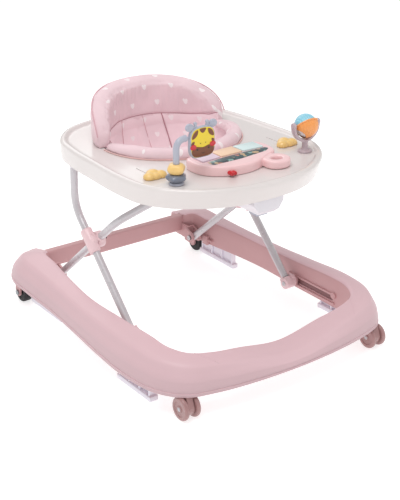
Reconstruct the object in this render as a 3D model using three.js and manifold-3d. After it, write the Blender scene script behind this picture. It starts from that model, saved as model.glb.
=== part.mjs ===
// Baby walker: a U-shaped moulded base on castors, a folding pair of crossed tube legs, and a
// toy tray with a padded sling seat. Millimetres, +Z up, the front of the walker faces -Y.
// Lengths along Y are stated from the front castor axle line. The exported group is moved back,
// so that the origin is on the floor in the middle of the base.
import * as THREE from 'three';
import { mergeVertices } from 'three/addons/utils/BufferGeometryUtils.js';
import Module from 'manifold-3d';

const wasm = await Module();
wasm.setup();

// ---------------------------------------------------------------- driving dimensions
const GAP = 0.3;
const BASE_FRONT_Y = -40;
const BASE_REAR_Y = 675;
const ORIGIN_Y = (BASE_FRONT_Y + BASE_REAR_Y) / 2;

// Base rail, half plan from the middle of the front to the end of the right rail. Each row is
// outer lip x, y, inner wall x, y, underside z and crest z.
const RAIL_STATIONS = [
  [0, BASE_FRONT_Y, 0, 30, 49, 81],
  [105, -35, 100, 30, 49, 97],
  [190, -22, 165, 31, 49, 107],
  [248, -2, 207, 45, 49, 113],
  [284, 48, 227, 80, 49, 117],
  [297, 130, 229.5, 130, 49, 119],
  [294, 232, 229.5, 240, 50, 114],
  [285, 350, 229.5, 350, 53, 111],
  [279, 450, 222, 440, 55, 115],
  [278, 560, 207, 545, 57, 120],
  [274, 622, 203, 590, 58, 122],
  [254, 663, 187.5, 612, 58, 116],
  [214, BASE_REAR_Y, 187, 662, 58, 104],
];
const RAIL_STEPS = 17;
// Rail section: across (0 at the lip, 1 at the inner wall) and up (0 underside, 1 crest).
const RAIL_SECTION_OUTSIDE = [
  [0, 0], [0, 0.13], [0.02, 0.17], [0.05, 0.38], [0.1, 0.55], [0.2, 0.72], [0.38, 0.87],
  [0.6, 0.97], [0.82, 1], [0.95, 0.96], [1, 0.82], [1, 0],
];
const RAIL_SECTION_INSIDE = [
  [0.95, 0], [0.95, 0.78], [0.92, 0.89], [0.8, 0.94], [0.58, 0.91],
  [0.4, 0.81], [0.24, 0.67], [0.13, 0.48], [0.06, 0.1], [0.05, 0],
];
const PAN = { low: 5, high: 8, outer: 0.1, inner: 0.925 };

// Folding legs: places in the side view are [y, z].
const TUBE = { outer: 8, inner: 6.8, sides: 8 };
const FRONT_LEG_X = 205;
const REAR_LEG_X = 188;
const FOOT = [238, 68];
const CROSSING = [390, 220];
const REAR_PIVOT = [567, 71];
const TRAY_PIVOT = [447, 368];
const LEG_HEAD = 11;
const FRONT_LEG_BEND = [450, 280];
const REAR_LEG_BEND = [315, 283.1];
const ADJUSTER_BAR = [205, 376];
const ADJUSTER_BAR_HALF = 102;
const SLOT = { start: 124, end: 248, low: 62.3, high: 73.7 };
const CROSSBAR = { half: 205, front: 613, rear: 633, low: 72, high: 111 };

// Wheels
const WHEEL_RADIUS = 24;
const CASTOR = { x: 240, stemY: 26, axleY: 5, wheelOffset: 13, wheelWidth: 11, axle: 3 };
const REAR_WHEEL = { x: 244, y: 632, width: 20, axle: 3 };
const BRAKE_PADS = {
  front: { x: 265, y: 76, length: 118, half: 10 },
  rear: { x: 236, y: 466, length: 134, half: 8 },
};

// Tray: half plan of the outer edge, front to rear, and the oval seat opening.
const TRAY_PLAN = [
  [0, 48], [68, 54], [130, 79], [186, 124], [218, 180], [226, 252],
  [223, 350], [217, 440], [200, 510], [150, 566], [78, 592], [0, 598],
];
const TRAY = { skirt: 369, underside: 399, floor: 403, rim: 409, sides: 50, wall: 2.4 };
const OPENING = { x: 148, y: 136, centreY: 395 };
const HOUSING = { half: 36, narrow: 20, shoulder: 358, front: 66, rear: 222, low: 335, high: 398.6 };

// Seat
const SEAT_TOP_Z = 506;
const BUCKET_BOTTOM_Z = 280;
const LEG_HOLE = { x: 62, y: 335, radius: 44 };

// Toys: places on the tray floor.
const GIRAFFE_XY = [-152, 157];
const SPINNER_XY = [168, 158];
const SPINNER_Z = 459;
const BEAD_SLIDE = { x: 164, y: 214, slotFront: 204, slotRear: 276 };
const MUSIC_TOP_Z = 420;

// ---------------------------------------------------------------- finishes
const PINK = { color: 0xdcbcc0, roughness: 0.55, metalness: 0 };
const PINK_GLOSS = { color: 0xd9b2b4, roughness: 0.3, metalness: 0 };
const IVORY = { color: 0xf1ece8, roughness: 0.3, metalness: 0 };
const TUBE_PAINT = { color: 0xdedcdf, roughness: 0.25, metalness: 0.1 };
const STEEL = { color: 0x9aa0a3, roughness: 0.35, metalness: 0.9 };
const BLACK_RUBBER = { color: 0x16151a, roughness: 0.7, metalness: 0 };
const PAD_GREY = { color: 0xd9d3dd, roughness: 0.5, metalness: 0 };
const FABRIC = { color: 0xe3bfc6, roughness: 0.9, metalness: 0 };
const LAVENDER = { color: 0xc3c5d8, roughness: 0.35, metalness: 0 };
const SLATE = { color: 0x7f8594, roughness: 0.35, metalness: 0 };
const YELLOW = { color: 0xf2ca7e, roughness: 0.35, metalness: 0 };
const MAUVE = { color: 0xc4b2b8, roughness: 0.4, metalness: 0 };
const ORANGE = { color: 0xf29a4a, roughness: 0.35, metalness: 0 };
const RED = { color: 0xc9162c, roughness: 0.3, metalness: 0 };
const LILAC = { color: 0xe3cfdc, roughness: 0.4, metalness: 0 };
const PEACH = { color: 0xf0cdb0, roughness: 0.4, metalness: 0 };
const MINT = { color: 0xcfe0df, roughness: 0.4, metalness: 0 };

// ---------------------------------------------------------------- geometry helpers
const point = (x, y, z) => new THREE.Vector3(x, y, z);

// Positions only, with shared corners merged and faces pointing out.
function clean(geometry) {
  const bare = geometry.clone();
  bare.deleteAttribute('normal');
  bare.deleteAttribute('uv');
  const merged = mergeVertices(bare, 1e-4);
  const position = merged.attributes.position;
  const index = merged.index.array;
  const corners = [point(), point(), point()];
  let volume = 0;
  for (let i = 0; i < index.length; i += 3) {
    corners.forEach((corner, k) => corner.fromBufferAttribute(position, index[i + k]));
    volume += corners[0].dot(corners[1].clone().cross(corners[2]));
  }
  if (volume < 0) {
    for (let i = 0; i < index.length; i += 3) {
      [index[i + 1], index[i + 2]] = [index[i + 2], index[i + 1]];
    }
  }
  return merged;
}

function toSolid(geometry) {
  const bare = clean(geometry);
  return new wasm.Manifold(new wasm.Mesh({
    numProp: 3,
    vertProperties: new Float32Array(bare.attributes.position.array),
    triVerts: new Uint32Array(bare.index.array),
  }));
}

function toGeometry(solid) {
  const mesh = solid.getMesh();
  const geometry = new THREE.BufferGeometry();
  geometry.setAttribute('position', new THREE.BufferAttribute(mesh.vertProperties, 3));
  geometry.setIndex(new THREE.BufferAttribute(mesh.triVerts, 1));
  return geometry;
}

// Joins all the pieces, then cuts away all the cutters.
function combine(pieces, cutters = []) {
  let solid = toSolid(pieces[0]);
  pieces.slice(1).forEach((piece) => {
    solid = solid.add(toSolid(piece));
  });
  cutters.forEach((cutter) => {
    solid = solid.subtract(toSolid(cutter));
  });
  return toGeometry(solid);
}

const keepInside = (geometry, limit) => toGeometry(toSolid(geometry).intersect(toSolid(limit)));

function capFaces(ring) {
  const normal = point(0, 0, 0);
  ring.forEach((a, i) => {
    const b = ring[(i + 1) % ring.length];
    normal.add(point(a.y * b.z - a.z * b.y, a.z * b.x - a.x * b.z, a.x * b.y - a.y * b.x));
  });
  normal.normalize();
  const across = ring[1].clone().sub(ring[0]);
  across.addScaledVector(normal, -across.dot(normal)).normalize();
  const along = normal.clone().cross(across);
  const flat = ring.map((p) => new THREE.Vector2(p.dot(across), p.dot(along)));
  return THREE.ShapeUtils.triangulateShape(flat, []);
}

// A skin over rings of equal length. Open rows of rings get flat ends.
function loft(rings, closed = false) {
  const count = rings[0].length;
  const indices = [];
  const spans = closed ? rings.length : rings.length - 1;
  for (let i = 0; i < spans; i += 1) {
    const a = i * count;
    const b = ((i + 1) % rings.length) * count;
    for (let j = 0; j < count; j += 1) {
      const k = (j + 1) % count;
      indices.push(a + j, b + j, b + k, a + j, b + k, a + k);
    }
  }
  if (!closed) {
    const end = (rings.length - 1) * count;
    capFaces(rings[0]).forEach(([p, q, r]) => indices.push(p, q, r));
    capFaces(rings[rings.length - 1]).forEach(([p, q, r]) => indices.push(end + p, end + r, end + q));
  }
  const geometry = new THREE.BufferGeometry();
  const positions = rings.flat().flatMap((p) => [p.x, p.y, p.z]);
  geometry.setAttribute('position', new THREE.Float32BufferAttribute(positions, 3));
  geometry.setIndex(indices);
  return clean(geometry);
}

function box(low, high) {
  const size = high.map((value, i) => value - low[i]);
  const geometry = new THREE.BoxGeometry(...size);
  return geometry.translate(...low.map((value, i) => value + size[i] / 2));
}

// A round bar along X, Y or Z between two places on that axis; `at` holds the other two places.
function bar(axis, radius, from, to, at, sides = 12) {
  const geometry = new THREE.CylinderGeometry(radius, radius, to - from, sides);
  geometry.translate(0, (from + to) / 2, 0);
  if (axis === 'x') {
    return geometry.rotateZ(-Math.PI / 2).translate(0, at[0], at[1]);
  }
  if (axis === 'z') {
    return geometry.rotateX(Math.PI / 2).translate(at[0], at[1], 0);
  }
  return geometry.translate(at[0], 0, at[1]);
}

// A plate whose outline is drawn in the side view as [y, z] and that runs from one x to another.
function sidePlate(outline, from, to) {
  const shape = new THREE.Shape(outline.map(([y, z]) => new THREE.Vector2(y, z)));
  const geometry = new THREE.ExtrudeGeometry(shape, { depth: to - from, bevelEnabled: false });
  const turn = new THREE.Matrix4().makeBasis(point(0, 1, 0), point(0, 0, 1), point(1, 0, 0));
  return geometry.applyMatrix4(turn).translate(from, 0, 0);
}

function topPlate(shape, from, to, bevel = 0) {
  const settings = {
    depth: to - from - 2 * bevel,
    bevelEnabled: bevel > 0,
    bevelSize: bevel,
    bevelThickness: bevel,
    bevelOffset: -bevel,
    bevelSegments: 1,
    curveSegments: 6,
  };
  return new THREE.ExtrudeGeometry(shape, settings).translate(0, 0, from + bevel);
}

// Points on an arc in the side view, angles in degrees.
function arc([y, z], radius, from, to, steps = 8) {
  return Array.from({ length: steps + 1 }, (_, i) => {
    const angle = THREE.MathUtils.degToRad(from + ((to - from) * i) / steps);
    return [y + radius * Math.cos(angle), z + radius * Math.sin(angle)];
  });
}

// A path through corners that are rounded with the given radii.
function roundedPath(corners, radii) {
  const path = new THREE.CurvePath();
  let start = corners[0];
  for (let i = 1; i < corners.length - 1; i += 1) {
    const corner = corners[i];
    const before = corner.clone().sub(corners[i - 1]).normalize();
    const after = corners[i + 1].clone().sub(corner).normalize();
    const enter = corner.clone().addScaledVector(before, -radii[i - 1]);
    const leave = corner.clone().addScaledVector(after, radii[i - 1]);
    path.add(new THREE.LineCurve3(start, enter));
    path.add(new THREE.QuadraticBezierCurve3(enter, corner, leave));
    start = leave;
  }
  path.add(new THREE.LineCurve3(start, corners[corners.length - 1]));
  return path;
}

function tubeAlong(path, outer, inner, sides, steps) {
  const section = new THREE.Shape().absarc(0, 0, outer, 0, Math.PI * 2);
  if (inner > 0) {
    section.holes.push(new THREE.Path().absarc(0, 0, inner, 0, Math.PI * 2, true));
  }
  return new THREE.ExtrudeGeometry(section, { extrudePath: path, steps, curveSegments: sides });
}

function turned(profile, segments = 24) {
  return new THREE.LatheGeometry(profile.map(([r, y]) => new THREE.Vector2(r, y)), segments);
}

// A turned piece whose axis is stood up along Z, or laid along X.
const turnedZ = (profile, segments) => turned(profile, segments).rotateX(Math.PI / 2);
const turnedX = (profile, segments) => turned(profile, segments).rotateZ(-Math.PI / 2);

const mirrored = (geometry, side) => (side > 0 ? geometry : geometry.clone().scale(-1, 1, 1));

const walker = new THREE.Group();
walker.position.y = -ORIGIN_Y;

function addPart(name, geometry, finish, place = [0, 0, 0]) {
  const material = new THREE.MeshStandardMaterial(finish);
  const mesh = new THREE.Mesh(clean(geometry), material);
  mesh.name = name;
  mesh.position.set(...place);
  walker.add(mesh);
}

// Adds a right-hand piece and its left-hand mirror image.
function addPair(name, geometry, finish) {
  [['left', -1], ['right', 1]].forEach(([hand, side]) => {
    addPart(`${name}_${hand}`, mirrored(geometry, side), finish);
  });
}

// ---------------------------------------------------------------- base
const spline = (points) => new THREE.CatmullRomCurve3(points);

function mirroredRow(build) {
  const half = RAIL_STATIONS.map((row) => build(row, 1));
  const other = RAIL_STATIONS.slice(1).map((row) => build(row, -1)).reverse();
  return spline([...other, ...half]);
}

function railStations() {
  const lip = mirroredRow(([x, y, , , low], side) => point(side * x, y, low));
  const wall = mirroredRow(([, , x, y, , high], side) => point(side * x, y, high));
  return Array.from({ length: 2 * RAIL_STEPS + 1 }, (_, i) => {
    const t = i / (2 * RAIL_STEPS);
    return { lip: lip.getPoint(t), wall: wall.getPoint(t) };
  });
}

function railRing({ lip, wall }, section) {
  return section.map(([across, up]) => point(
    THREE.MathUtils.lerp(lip.x, wall.x, across),
    THREE.MathUtils.lerp(lip.y, wall.y, across),
    THREE.MathUtils.lerp(lip.z, wall.z, up),
  ));
}

function buildBaseShell() {
  const section = [...RAIL_SECTION_OUTSIDE, ...RAIL_SECTION_INSIDE];
  const shell = loft(railStations().map((station) => railRing(station, section)));
  const ridges = [];
  const cutters = [];
  [-1, 1].forEach((side) => {
    const ridge = box([226.5, SLOT.start - 10, SLOT.low - 7], [231, SLOT.end + 10, SLOT.high + 7]);
    const slot = box([220, SLOT.start, SLOT.low], [238, SLOT.end, SLOT.high]);
    const socket = box(
      [170, CROSSBAR.front - GAP, CROSSBAR.low - GAP],
      [CROSSBAR.half + GAP, CROSSBAR.rear + GAP, CROSSBAR.high + GAP],
    );
    ridges.push(mirrored(ridge, side));
    cutters.push(mirrored(slot, side), mirrored(socket, side));
  });
  return combine([shell, ...ridges], cutters);
}

function buildBasePan() {
  const rings = railStations().map(({ lip, wall }) => {
    const corners = [
      [PAN.outer, PAN.low], [PAN.inner, PAN.low], [PAN.inner, PAN.high], [PAN.outer, PAN.high],
    ];
    return corners.map(([across, up]) => point(
      THREE.MathUtils.lerp(lip.x, wall.x, across),
      THREE.MathUtils.lerp(lip.y, wall.y, across),
      lip.z + up,
    ));
  });
  const pieces = [loft(rings)];
  const cutters = [];
  const axle = [REAR_WHEEL.y, WHEEL_RADIUS];
  const { x, y, width } = REAR_WHEEL;
  const ear = [...arc(axle, 9, 180, 360, 6), [y + 12, 64], [y - 14, 64]];
  const inside = x - width / 2 - 1;
  const outside = x + width / 2 + 1;
  [-1, 1].forEach((side) => {
    const socket = bar('z', 13, 54, 83, [CASTOR.x, CASTOR.stemY], 16);
    const bore = bar('z', 5.3, 50, 86, [CASTOR.x, CASTOR.stemY], 12);
    const inboard = sidePlate(ear, inside - 5, inside);
    const outboard = sidePlate(ear, outside, outside + 4);
    const axleBore = bar('x', REAR_WHEEL.axle + GAP, inside - 8, outside + 8, axle, 12);
    pieces.push(mirrored(socket, side), mirrored(inboard, side), mirrored(outboard, side));
    cutters.push(mirrored(bore, side), mirrored(axleBore, side));
  });
  return combine(pieces, cutters);
}

function buildCrossbar() {
  const { half, front, rear, low, high } = CROSSBAR;
  const corner = 4;
  const outline = [
    ...arc([rear - corner, high - corner], corner, 0, 90, 3),
    ...arc([front + corner, high - corner], corner, 90, 180, 3),
    ...arc([front + corner, low + corner], corner, 180, 270, 3),
    ...arc([rear - corner, low + corner], corner, 270, 360, 3),
  ];
  return sidePlate(outline, -half, half);
}

function buildRearPivotBracket() {
  const ear = [...arc(REAR_PIVOT, 13, 110, 270, 7), [588, 60], [588, 92]];
  const pieces = [
    sidePlate(ear, 174.5, 179.4),
    sidePlate(ear, 196.6, 200.2),
    box([174.5, 583, 60], [200.2, 588, 92]),
    box([182, 587, 60], [187, 611, 92]),
  ];
  return combine(pieces, [bar('x', 4.3, 170, 205, REAR_PIVOT, 12)]);
}

function buildRearPivotPin() {
  return combine([
    bar('x', 4, 172.5, 201.6, REAR_PIVOT, 12),
    bar('x', 6.2, 171.2, 174.2, REAR_PIVOT, 16),
  ]);
}

function buildRearAxle() {
  const axle = [REAR_WHEEL.y, WHEEL_RADIUS];
  const { x, width } = REAR_WHEEL;
  const inside = x - width / 2 - 7;
  const outside = x + width / 2 + 5.3;
  return combine([
    bar('x', REAR_WHEEL.axle, inside, outside + 1, axle, 12),
    bar('x', 6, outside, outside + 3, axle, 16),
  ]);
}

// A stopper strip on three posts joined by a thin web.
function buildBrakePad({ x, y, length, half }, top) {
  const pieces = [
    box([x - half, y, 10], [x + half, y + length, 19]),
    box([x - 1.5, y + 8, 18], [x + 1.5, y + length - 8, top]),
  ];
  [0.12, 0.5, 0.88].forEach((share) => {
    const centre = y + share * length;
    pieces.push(box([x - 6, centre - 7, 18], [x + 6, centre + 7, top]));
  });
  return combine(pieces);
}

addPart('base_top_shell', buildBaseShell(), PINK);
addPart('base_bottom_pan', buildBasePan(), PINK);
addPart('rear_crossbar', buildCrossbar(), PINK);
addPair('rear_pivot_bracket', buildRearPivotBracket(), PINK);
addPair('rear_pivot_pin', buildRearPivotPin(), STEEL);
addPair('rear_axle', buildRearAxle(), STEEL);
addPair('brake_pad_front', buildBrakePad(BRAKE_PADS.front, 53.6), PAD_GREY);
addPair('brake_pad_rear', buildBrakePad(BRAKE_PADS.rear, 59.6), PAD_GREY);

// ---------------------------------------------------------------- wheels and castors
function wheelProfile(width, bore) {
  const half = width / 2;
  const rim = WHEEL_RADIUS;
  return [
    [bore, -half], [rim - 4, -half], [rim, -half * 0.4], [rim, half * 0.4], [rim - 4, half],
    [rim - 8, half], [rim - 9, half - 1.4], [7, half - 1.4], [6, half], [bore, half], [bore, -half],
  ];
}

function buildCastorFork() {
  const axle = [CASTOR.axleY, WHEEL_RADIUS];
  const cheek = [...arc(axle, 17, 150, 300, 8), [34, 34], [38, 44], [38, 48.4], [-3, 48.4]];
  const centre = [CASTOR.x, CASTOR.stemY];
  return combine([
    sidePlate(cheek, CASTOR.x - 6.6, CASTOR.x + 6.6),
    bar('z', 13, 48, 52.6, centre, 20),
    bar('z', 5, 52, 84, centre, 12),
  ], [bar('x', CASTOR.axle + GAP, 230, 250, axle, 12)]);
}

const WHEEL_SIDES = 14;
const castorWheel = turnedX(wheelProfile(CASTOR.wheelWidth, CASTOR.axle + GAP), WHEEL_SIDES);
const rearWheel = turnedX(wheelProfile(REAR_WHEEL.width, REAR_WHEEL.axle + GAP), WHEEL_SIDES);
addPair('castor_fork', buildCastorFork(), PINK_GLOSS);
[['left', -1], ['right', 1]].forEach(([hand, side]) => {
  [['outer', 1], ['inner', -1]].forEach(([place, step]) => {
    const x = side * (CASTOR.x + step * CASTOR.wheelOffset);
    const wheel = mirrored(castorWheel, side * step);
    addPart(`castor_wheel_${hand}_${place}`, wheel, PINK_GLOSS, [x, CASTOR.axleY, WHEEL_RADIUS]);
  });
  const reach = CASTOR.wheelOffset + CASTOR.wheelWidth / 2 + 0.6;
  const axle = bar('x', CASTOR.axle, -reach, reach, [0, 0], 12);
  addPart(`castor_axle_${hand}`, axle, STEEL, [side * CASTOR.x, CASTOR.axleY, WHEEL_RADIUS]);
  const rearPlace = [side * REAR_WHEEL.x, REAR_WHEEL.y, WHEEL_RADIUS];
  addPart(`rear_wheel_${hand}`, mirrored(rearWheel, side), BLACK_RUBBER, rearPlace);
});

// ---------------------------------------------------------------- folding legs
const frontLegPoint = ([y, z]) => point(FRONT_LEG_X, y, z);
const rearLegPoint = ([y, z]) => point(REAR_LEG_X, y, z);

// Unit direction in the side view from one place to another.
function direction(from, to) {
  const length = Math.hypot(to[0] - from[0], to[1] - from[1]);
  return [(to[0] - from[0]) / length, (to[1] - from[1]) / length];
}

const shifted = ([y, z], [dy, dz], distance) => [y + dy * distance, z + dz * distance];
const FRONT_LEG_DIRECTION = direction(FOOT, CROSSING);
const REAR_LEG_DIRECTION = direction(REAR_PIVOT, CROSSING);

function buildFrontLegTube() {
  const corners = [
    frontLegPoint(shifted(FOOT, FRONT_LEG_DIRECTION, 14)),
    frontLegPoint(FRONT_LEG_BEND),
    frontLegPoint([TRAY_PIVOT[0], TRAY_PIVOT[1] + LEG_HEAD]),
  ];
  const tube = tubeAlong(roundedPath(corners, [30]), TUBE.outer, TUBE.inner, TUBE.sides / 2, 13);
  return combine([tube], [
    bar('x', 3.4, 190, 220, CROSSING, 12),
    bar('x', 3.8, 190, 220, TRAY_PIVOT, 12),
  ]);
}

function buildRearLegTube() {
  const corners = [
    rearLegPoint(shifted(REAR_PIVOT, REAR_LEG_DIRECTION, -9)),
    rearLegPoint(REAR_LEG_BEND),
    point(ADJUSTER_BAR_HALF, ...ADJUSTER_BAR),
    point(70, ...ADJUSTER_BAR),
  ];
  const path = roundedPath(corners, [26, 24]);
  const tube = tubeAlong(path, TUBE.outer, TUBE.inner, TUBE.sides / 2, 21);
  return combine([tube], [
    bar('x', 3.4, 175, 200, CROSSING, 12),
    bar('x', 4.3, 175, 200, REAR_PIVOT, 12),
  ]);
}

function sleeve(x, centre, dir, radius, back, ahead) {
  const from = shifted(centre, dir, -back);
  const to = shifted(centre, dir, ahead);
  const path = new THREE.LineCurve3(point(x, ...from), point(x, ...to));
  return tubeAlong(path, radius, 0, 6, 1);
}

// The moulded half that grips the front leg: a round plate with a half-round ridge.
function buildOuterCrossJoint() {
  const body = combine([
    bar('x', 23, 196.9, 211, CROSSING, 20),
    sleeve(FRONT_LEG_X, CROSSING, FRONT_LEG_DIRECTION, 12, 29, 29),
  ], [
    sleeve(FRONT_LEG_X, CROSSING, FRONT_LEG_DIRECTION, TUBE.outer + 2 * GAP, 40, 40),
    bar('x', 3.4, 190, 220, CROSSING, 12),
  ]);
  return keepInside(body, box([196.9, 300, 150], [230, 480, 300]));
}

function buildInnerCrossJoint() {
  const body = combine([
    bar('x', 22, 176, 196.1, CROSSING, 20),
    sleeve(REAR_LEG_X, CROSSING, REAR_LEG_DIRECTION, 11.5, 27, 27),
  ], [
    sleeve(REAR_LEG_X, CROSSING, REAR_LEG_DIRECTION, TUBE.outer + 2 * GAP, 40, 40),
    bar('x', 3.4, 165, 200, CROSSING, 12),
  ]);
  return keepInside(body, box([165, 300, 150], [196.1, 480, 300]));
}

// The moulded end of the front leg, which turns on the pin of the slider in the rail.
function buildFootSocket() {
  const block = keepInside(
    combine([
      sleeve(FRONT_LEG_X, FOOT, FRONT_LEG_DIRECTION, 15.5, 13, 21),
      bar('x', 14.5, 193.5, 216.5, FOOT, 16),
    ]),
    box([193.5, 200, 40], [216.5, 290, 130]),
  );
  const cheek = bar('x', 17, 214, 221.2, shifted(FOOT, FRONT_LEG_DIRECTION, 3), 16);
  return combine([block, cheek], [
    sleeve(FRONT_LEG_X, shifted(FOOT, FRONT_LEG_DIRECTION, 13.5), FRONT_LEG_DIRECTION,
      TUBE.outer + 2 * GAP, 0, 40),
    bar('x', 4.3, 185, 225, FOOT, 12),
  ]);
}

function buildFootSlider() {
  const [y, z] = FOOT;
  return combine([
    bar('x', 4, 192.6, 223, FOOT, 12),
    box([221.6, y - 9, z - 9], [226, y + 9, z + 9]),
    box([225, y - 5, z - 4], [236, y + 5, z + 4]),
    box([233.6, y - 14, z - 9], [241, y + 14, z + 9]),
  ]);
}

addPair('front_leg_tube', buildFrontLegTube(), TUBE_PAINT);
addPair('rear_leg_tube', buildRearLegTube(), TUBE_PAINT);
addPart('rear_leg_cross_tube', combine([
  tubeAlong(
    new THREE.LineCurve3(point(-69.7, ...ADJUSTER_BAR), point(69.7, ...ADJUSTER_BAR)),
    TUBE.outer, TUBE.inner, TUBE.sides / 2, 1,
  ),
]), TUBE_PAINT);
addPair('cross_joint_outer', buildOuterCrossJoint(), PINK_GLOSS);
addPair('cross_joint_inner', buildInnerCrossJoint(), PINK_GLOSS);
addPair('cross_pin', bar('x', 3, 174.6, 218, CROSSING, 12), STEEL);
addPair('foot_socket', buildFootSocket(), PINK_GLOSS);
addPair('foot_slider', buildFootSlider(), PINK);

// ---------------------------------------------------------------- tray
function trayOutline() {
  const right = TRAY_PLAN.map(([x, y]) => point(x, y, 0));
  const left = TRAY_PLAN.slice(1, -1).reverse().map(([x, y]) => point(-x, y, 0));
  const curve = new THREE.CatmullRomCurve3([...right, ...left], true);
  return curve.getSpacedPoints(TRAY.sides).slice(0, TRAY.sides);
}

// The outline moved in by `inset`, and by up to `front` more where the edge faces the front.
function insetRing(outline, inset, z, front = 0) {
  return outline.map((p, i) => {
    const before = outline[(i + outline.length - 1) % outline.length];
    const after = outline[(i + 1) % outline.length];
    const inward = point(-(after.y - before.y), after.x - before.x, 0).normalize();
    return p.clone().addScaledVector(inward, inset + front * Math.max(0, inward.y) ** 2).setZ(z);
  });
}

// The ring around the seat opening, `grow` wider than the opening itself.
function openingRing(outline, grow, z) {
  return outline.map((p) => {
    const angle = Math.atan2((p.y - OPENING.centreY) / OPENING.y, p.x / OPENING.x);
    return point(
      (OPENING.x + grow) * Math.cos(angle),
      OPENING.centreY + (OPENING.y + grow) * Math.sin(angle),
      z,
    );
  });
}

function buildTray() {
  const outline = trayOutline();
  const { skirt, underside, floor, rim, wall } = TRAY;
  const sideDraft = 2;
  const frontDraft = 9;
  const rings = [
    insetRing(outline, sideDraft, skirt, frontDraft),
    insetRing(outline, 0, rim - 8),
    insetRing(outline, 1.4, rim - 3.2),
    insetRing(outline, 5, rim - 0.4),
    insetRing(outline, 10, rim - 0.4),
    insetRing(outline, 14.5, rim - 3),
    insetRing(outline, 18, floor),
    openingRing(outline, 2, floor),
    openingRing(outline, 0, floor - 2),
    openingRing(outline, 0, floor - 17),
    openingRing(outline, 4, floor - 17),
    openingRing(outline, 4, underside),
    insetRing(outline, wall + 2, underside),
    insetRing(outline, sideDraft + wall, skirt, frontDraft),
  ];
  const reach = TUBE.outer + 0.8;
  const legHead = bar('z', reach, skirt - 6, underside - 1, [FRONT_LEG_X, TRAY_PIVOT[0]], 16);
  const legSwing = bar('x', LEG_HEAD * 1.3, FRONT_LEG_X - reach, FRONT_LEG_X + reach, TRAY_PIVOT, 20);
  const reliefs = [legHead, mirrored(legHead, -1), legSwing, mirrored(legSwing, -1)];
  const slots = [-1, 1].map((side) => mirrored(box(
    [BEAD_SLIDE.x - 1.5, BEAD_SLIDE.slotFront, underside - 5],
    [BEAD_SLIDE.x + 1.5, BEAD_SLIDE.slotRear, floor + 5],
  ), side));
  return combine([loft(rings, true)], [...slots, ...reliefs]);
}

function buildHingeBracket() {
  const [y, z] = TRAY_PIVOT;
  const outline = [...arc(TRAY_PIVOT, 13, 180, 360, 6), [y + 14, 398.6], [y - 14, 398.6]];
  return combine([
    sidePlate(outline, 178, 195.6),
    bar('x', 3.5, 190, 213, [y, z], 12),
  ]);
}

function buildAdjusterHousing() {
  const { half, narrow, shoulder, front, rear, low, high } = HOUSING;
  const taper = [
    [-half, high], [-half, shoulder], [-narrow, low], [narrow, low], [half, shoulder], [half, high],
  ];
  const envelope = loft([front - 1, rear + 1].map((y) => taper.map(([x, z]) => point(x, y, z))));
  const outline = [
    [front, high], [front, low + 8], [front + 8, low], [rear - 30, low],
    [rear, low + 26], [rear, high],
  ];
  const z = ADJUSTER_BAR[1];
  const slot = box([-half - 1, front + 6, z - 14], [half + 1, rear - 6, z + 14]);
  const pocket = box([-9, front + 20, low - 1], [9, front + 56, low + 10]);
  return keepInside(combine([sidePlate(outline, -half, half)], [slot, pocket]), envelope);
}

function buildHeightLatch() {
  const { front, low } = HOUSING;
  return combine([
    box([-13, front + 20, low - 8], [13, front + 44, low - 0.4]),
    box([-8, front + 22, low - 1], [8, front + 42, low + 8]),
  ]);
}

addPart('tray', buildTray(), IVORY);
addPair('tray_hinge_bracket', buildHingeBracket(), IVORY);
addPart('adjuster_housing', buildAdjusterHousing(), IVORY);
addPart('height_latch', buildHeightLatch(), LAVENDER);

// ---------------------------------------------------------------- seat
const degrees = THREE.MathUtils.degToRad;

// A place on an oval about the seat opening; the angle is 0 at the rear and grows towards +X.
function around(angle, halfX, halfY, z) {
  return point(halfX * Math.sin(angle), OPENING.centreY + halfY * Math.cos(angle), z);
}

function buildSeatBucket() {
  const count = 28;
  const ring = (halfX, halfY, z) => Array.from(
    { length: count },
    (_, i) => around((i / count) * 2 * Math.PI, halfX, halfY, z),
  );
  const bottom = BUCKET_BOTTOM_Z;
  const skin = 4;
  const rows = [[147.4, 135.4, 402.6], [138, 126, 360], [122, 110, 322], [98, 86, 294], [70, 58, bottom]];
  const outer = loft(rows.map(([a, b, z]) => ring(a, b, z)).reverse());
  const innerRows = rows.map(([a, b, z], i) => (
    ring(a - skin, b - skin, i === 0 ? z + 5 : z + (i * skin) / 4)
  ));
  const inner = loft(innerRows.reverse());
  const holes = [-1, 1].map((side) => bar(
    'z', LEG_HOLE.radius, bottom - 20, 330, [side * LEG_HOLE.x, LEG_HOLE.y], 20,
  ));
  return combine([outer], [inner, ...holes]);
}

// A padded roll along the front of the opening, under the two ends of the backrest.
function buildSeatRing() {
  const first = 84;
  const last = 276;
  const steps = 18;
  const section = [[0, 0], [1, 0], [1, 0.45], [0.86, 0.85], [0.55, 1], [0.2, 0.85], [0, 0.4]];
  const rings = Array.from({ length: steps + 1 }, (_, i) => {
    const angle = degrees(first + ((last - first) * i) / steps);
    const ends = Math.min(1, 0.55 + 3 * Math.min(i / steps, 1 - i / steps));
    return section.map(([across, up]) => around(
      angle,
      THREE.MathUtils.lerp(122, 156, across),
      THREE.MathUtils.lerp(111, 145, across),
      403.6 + up * 20 * ends,
    ));
  });
  return loft(rings);
}

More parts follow.
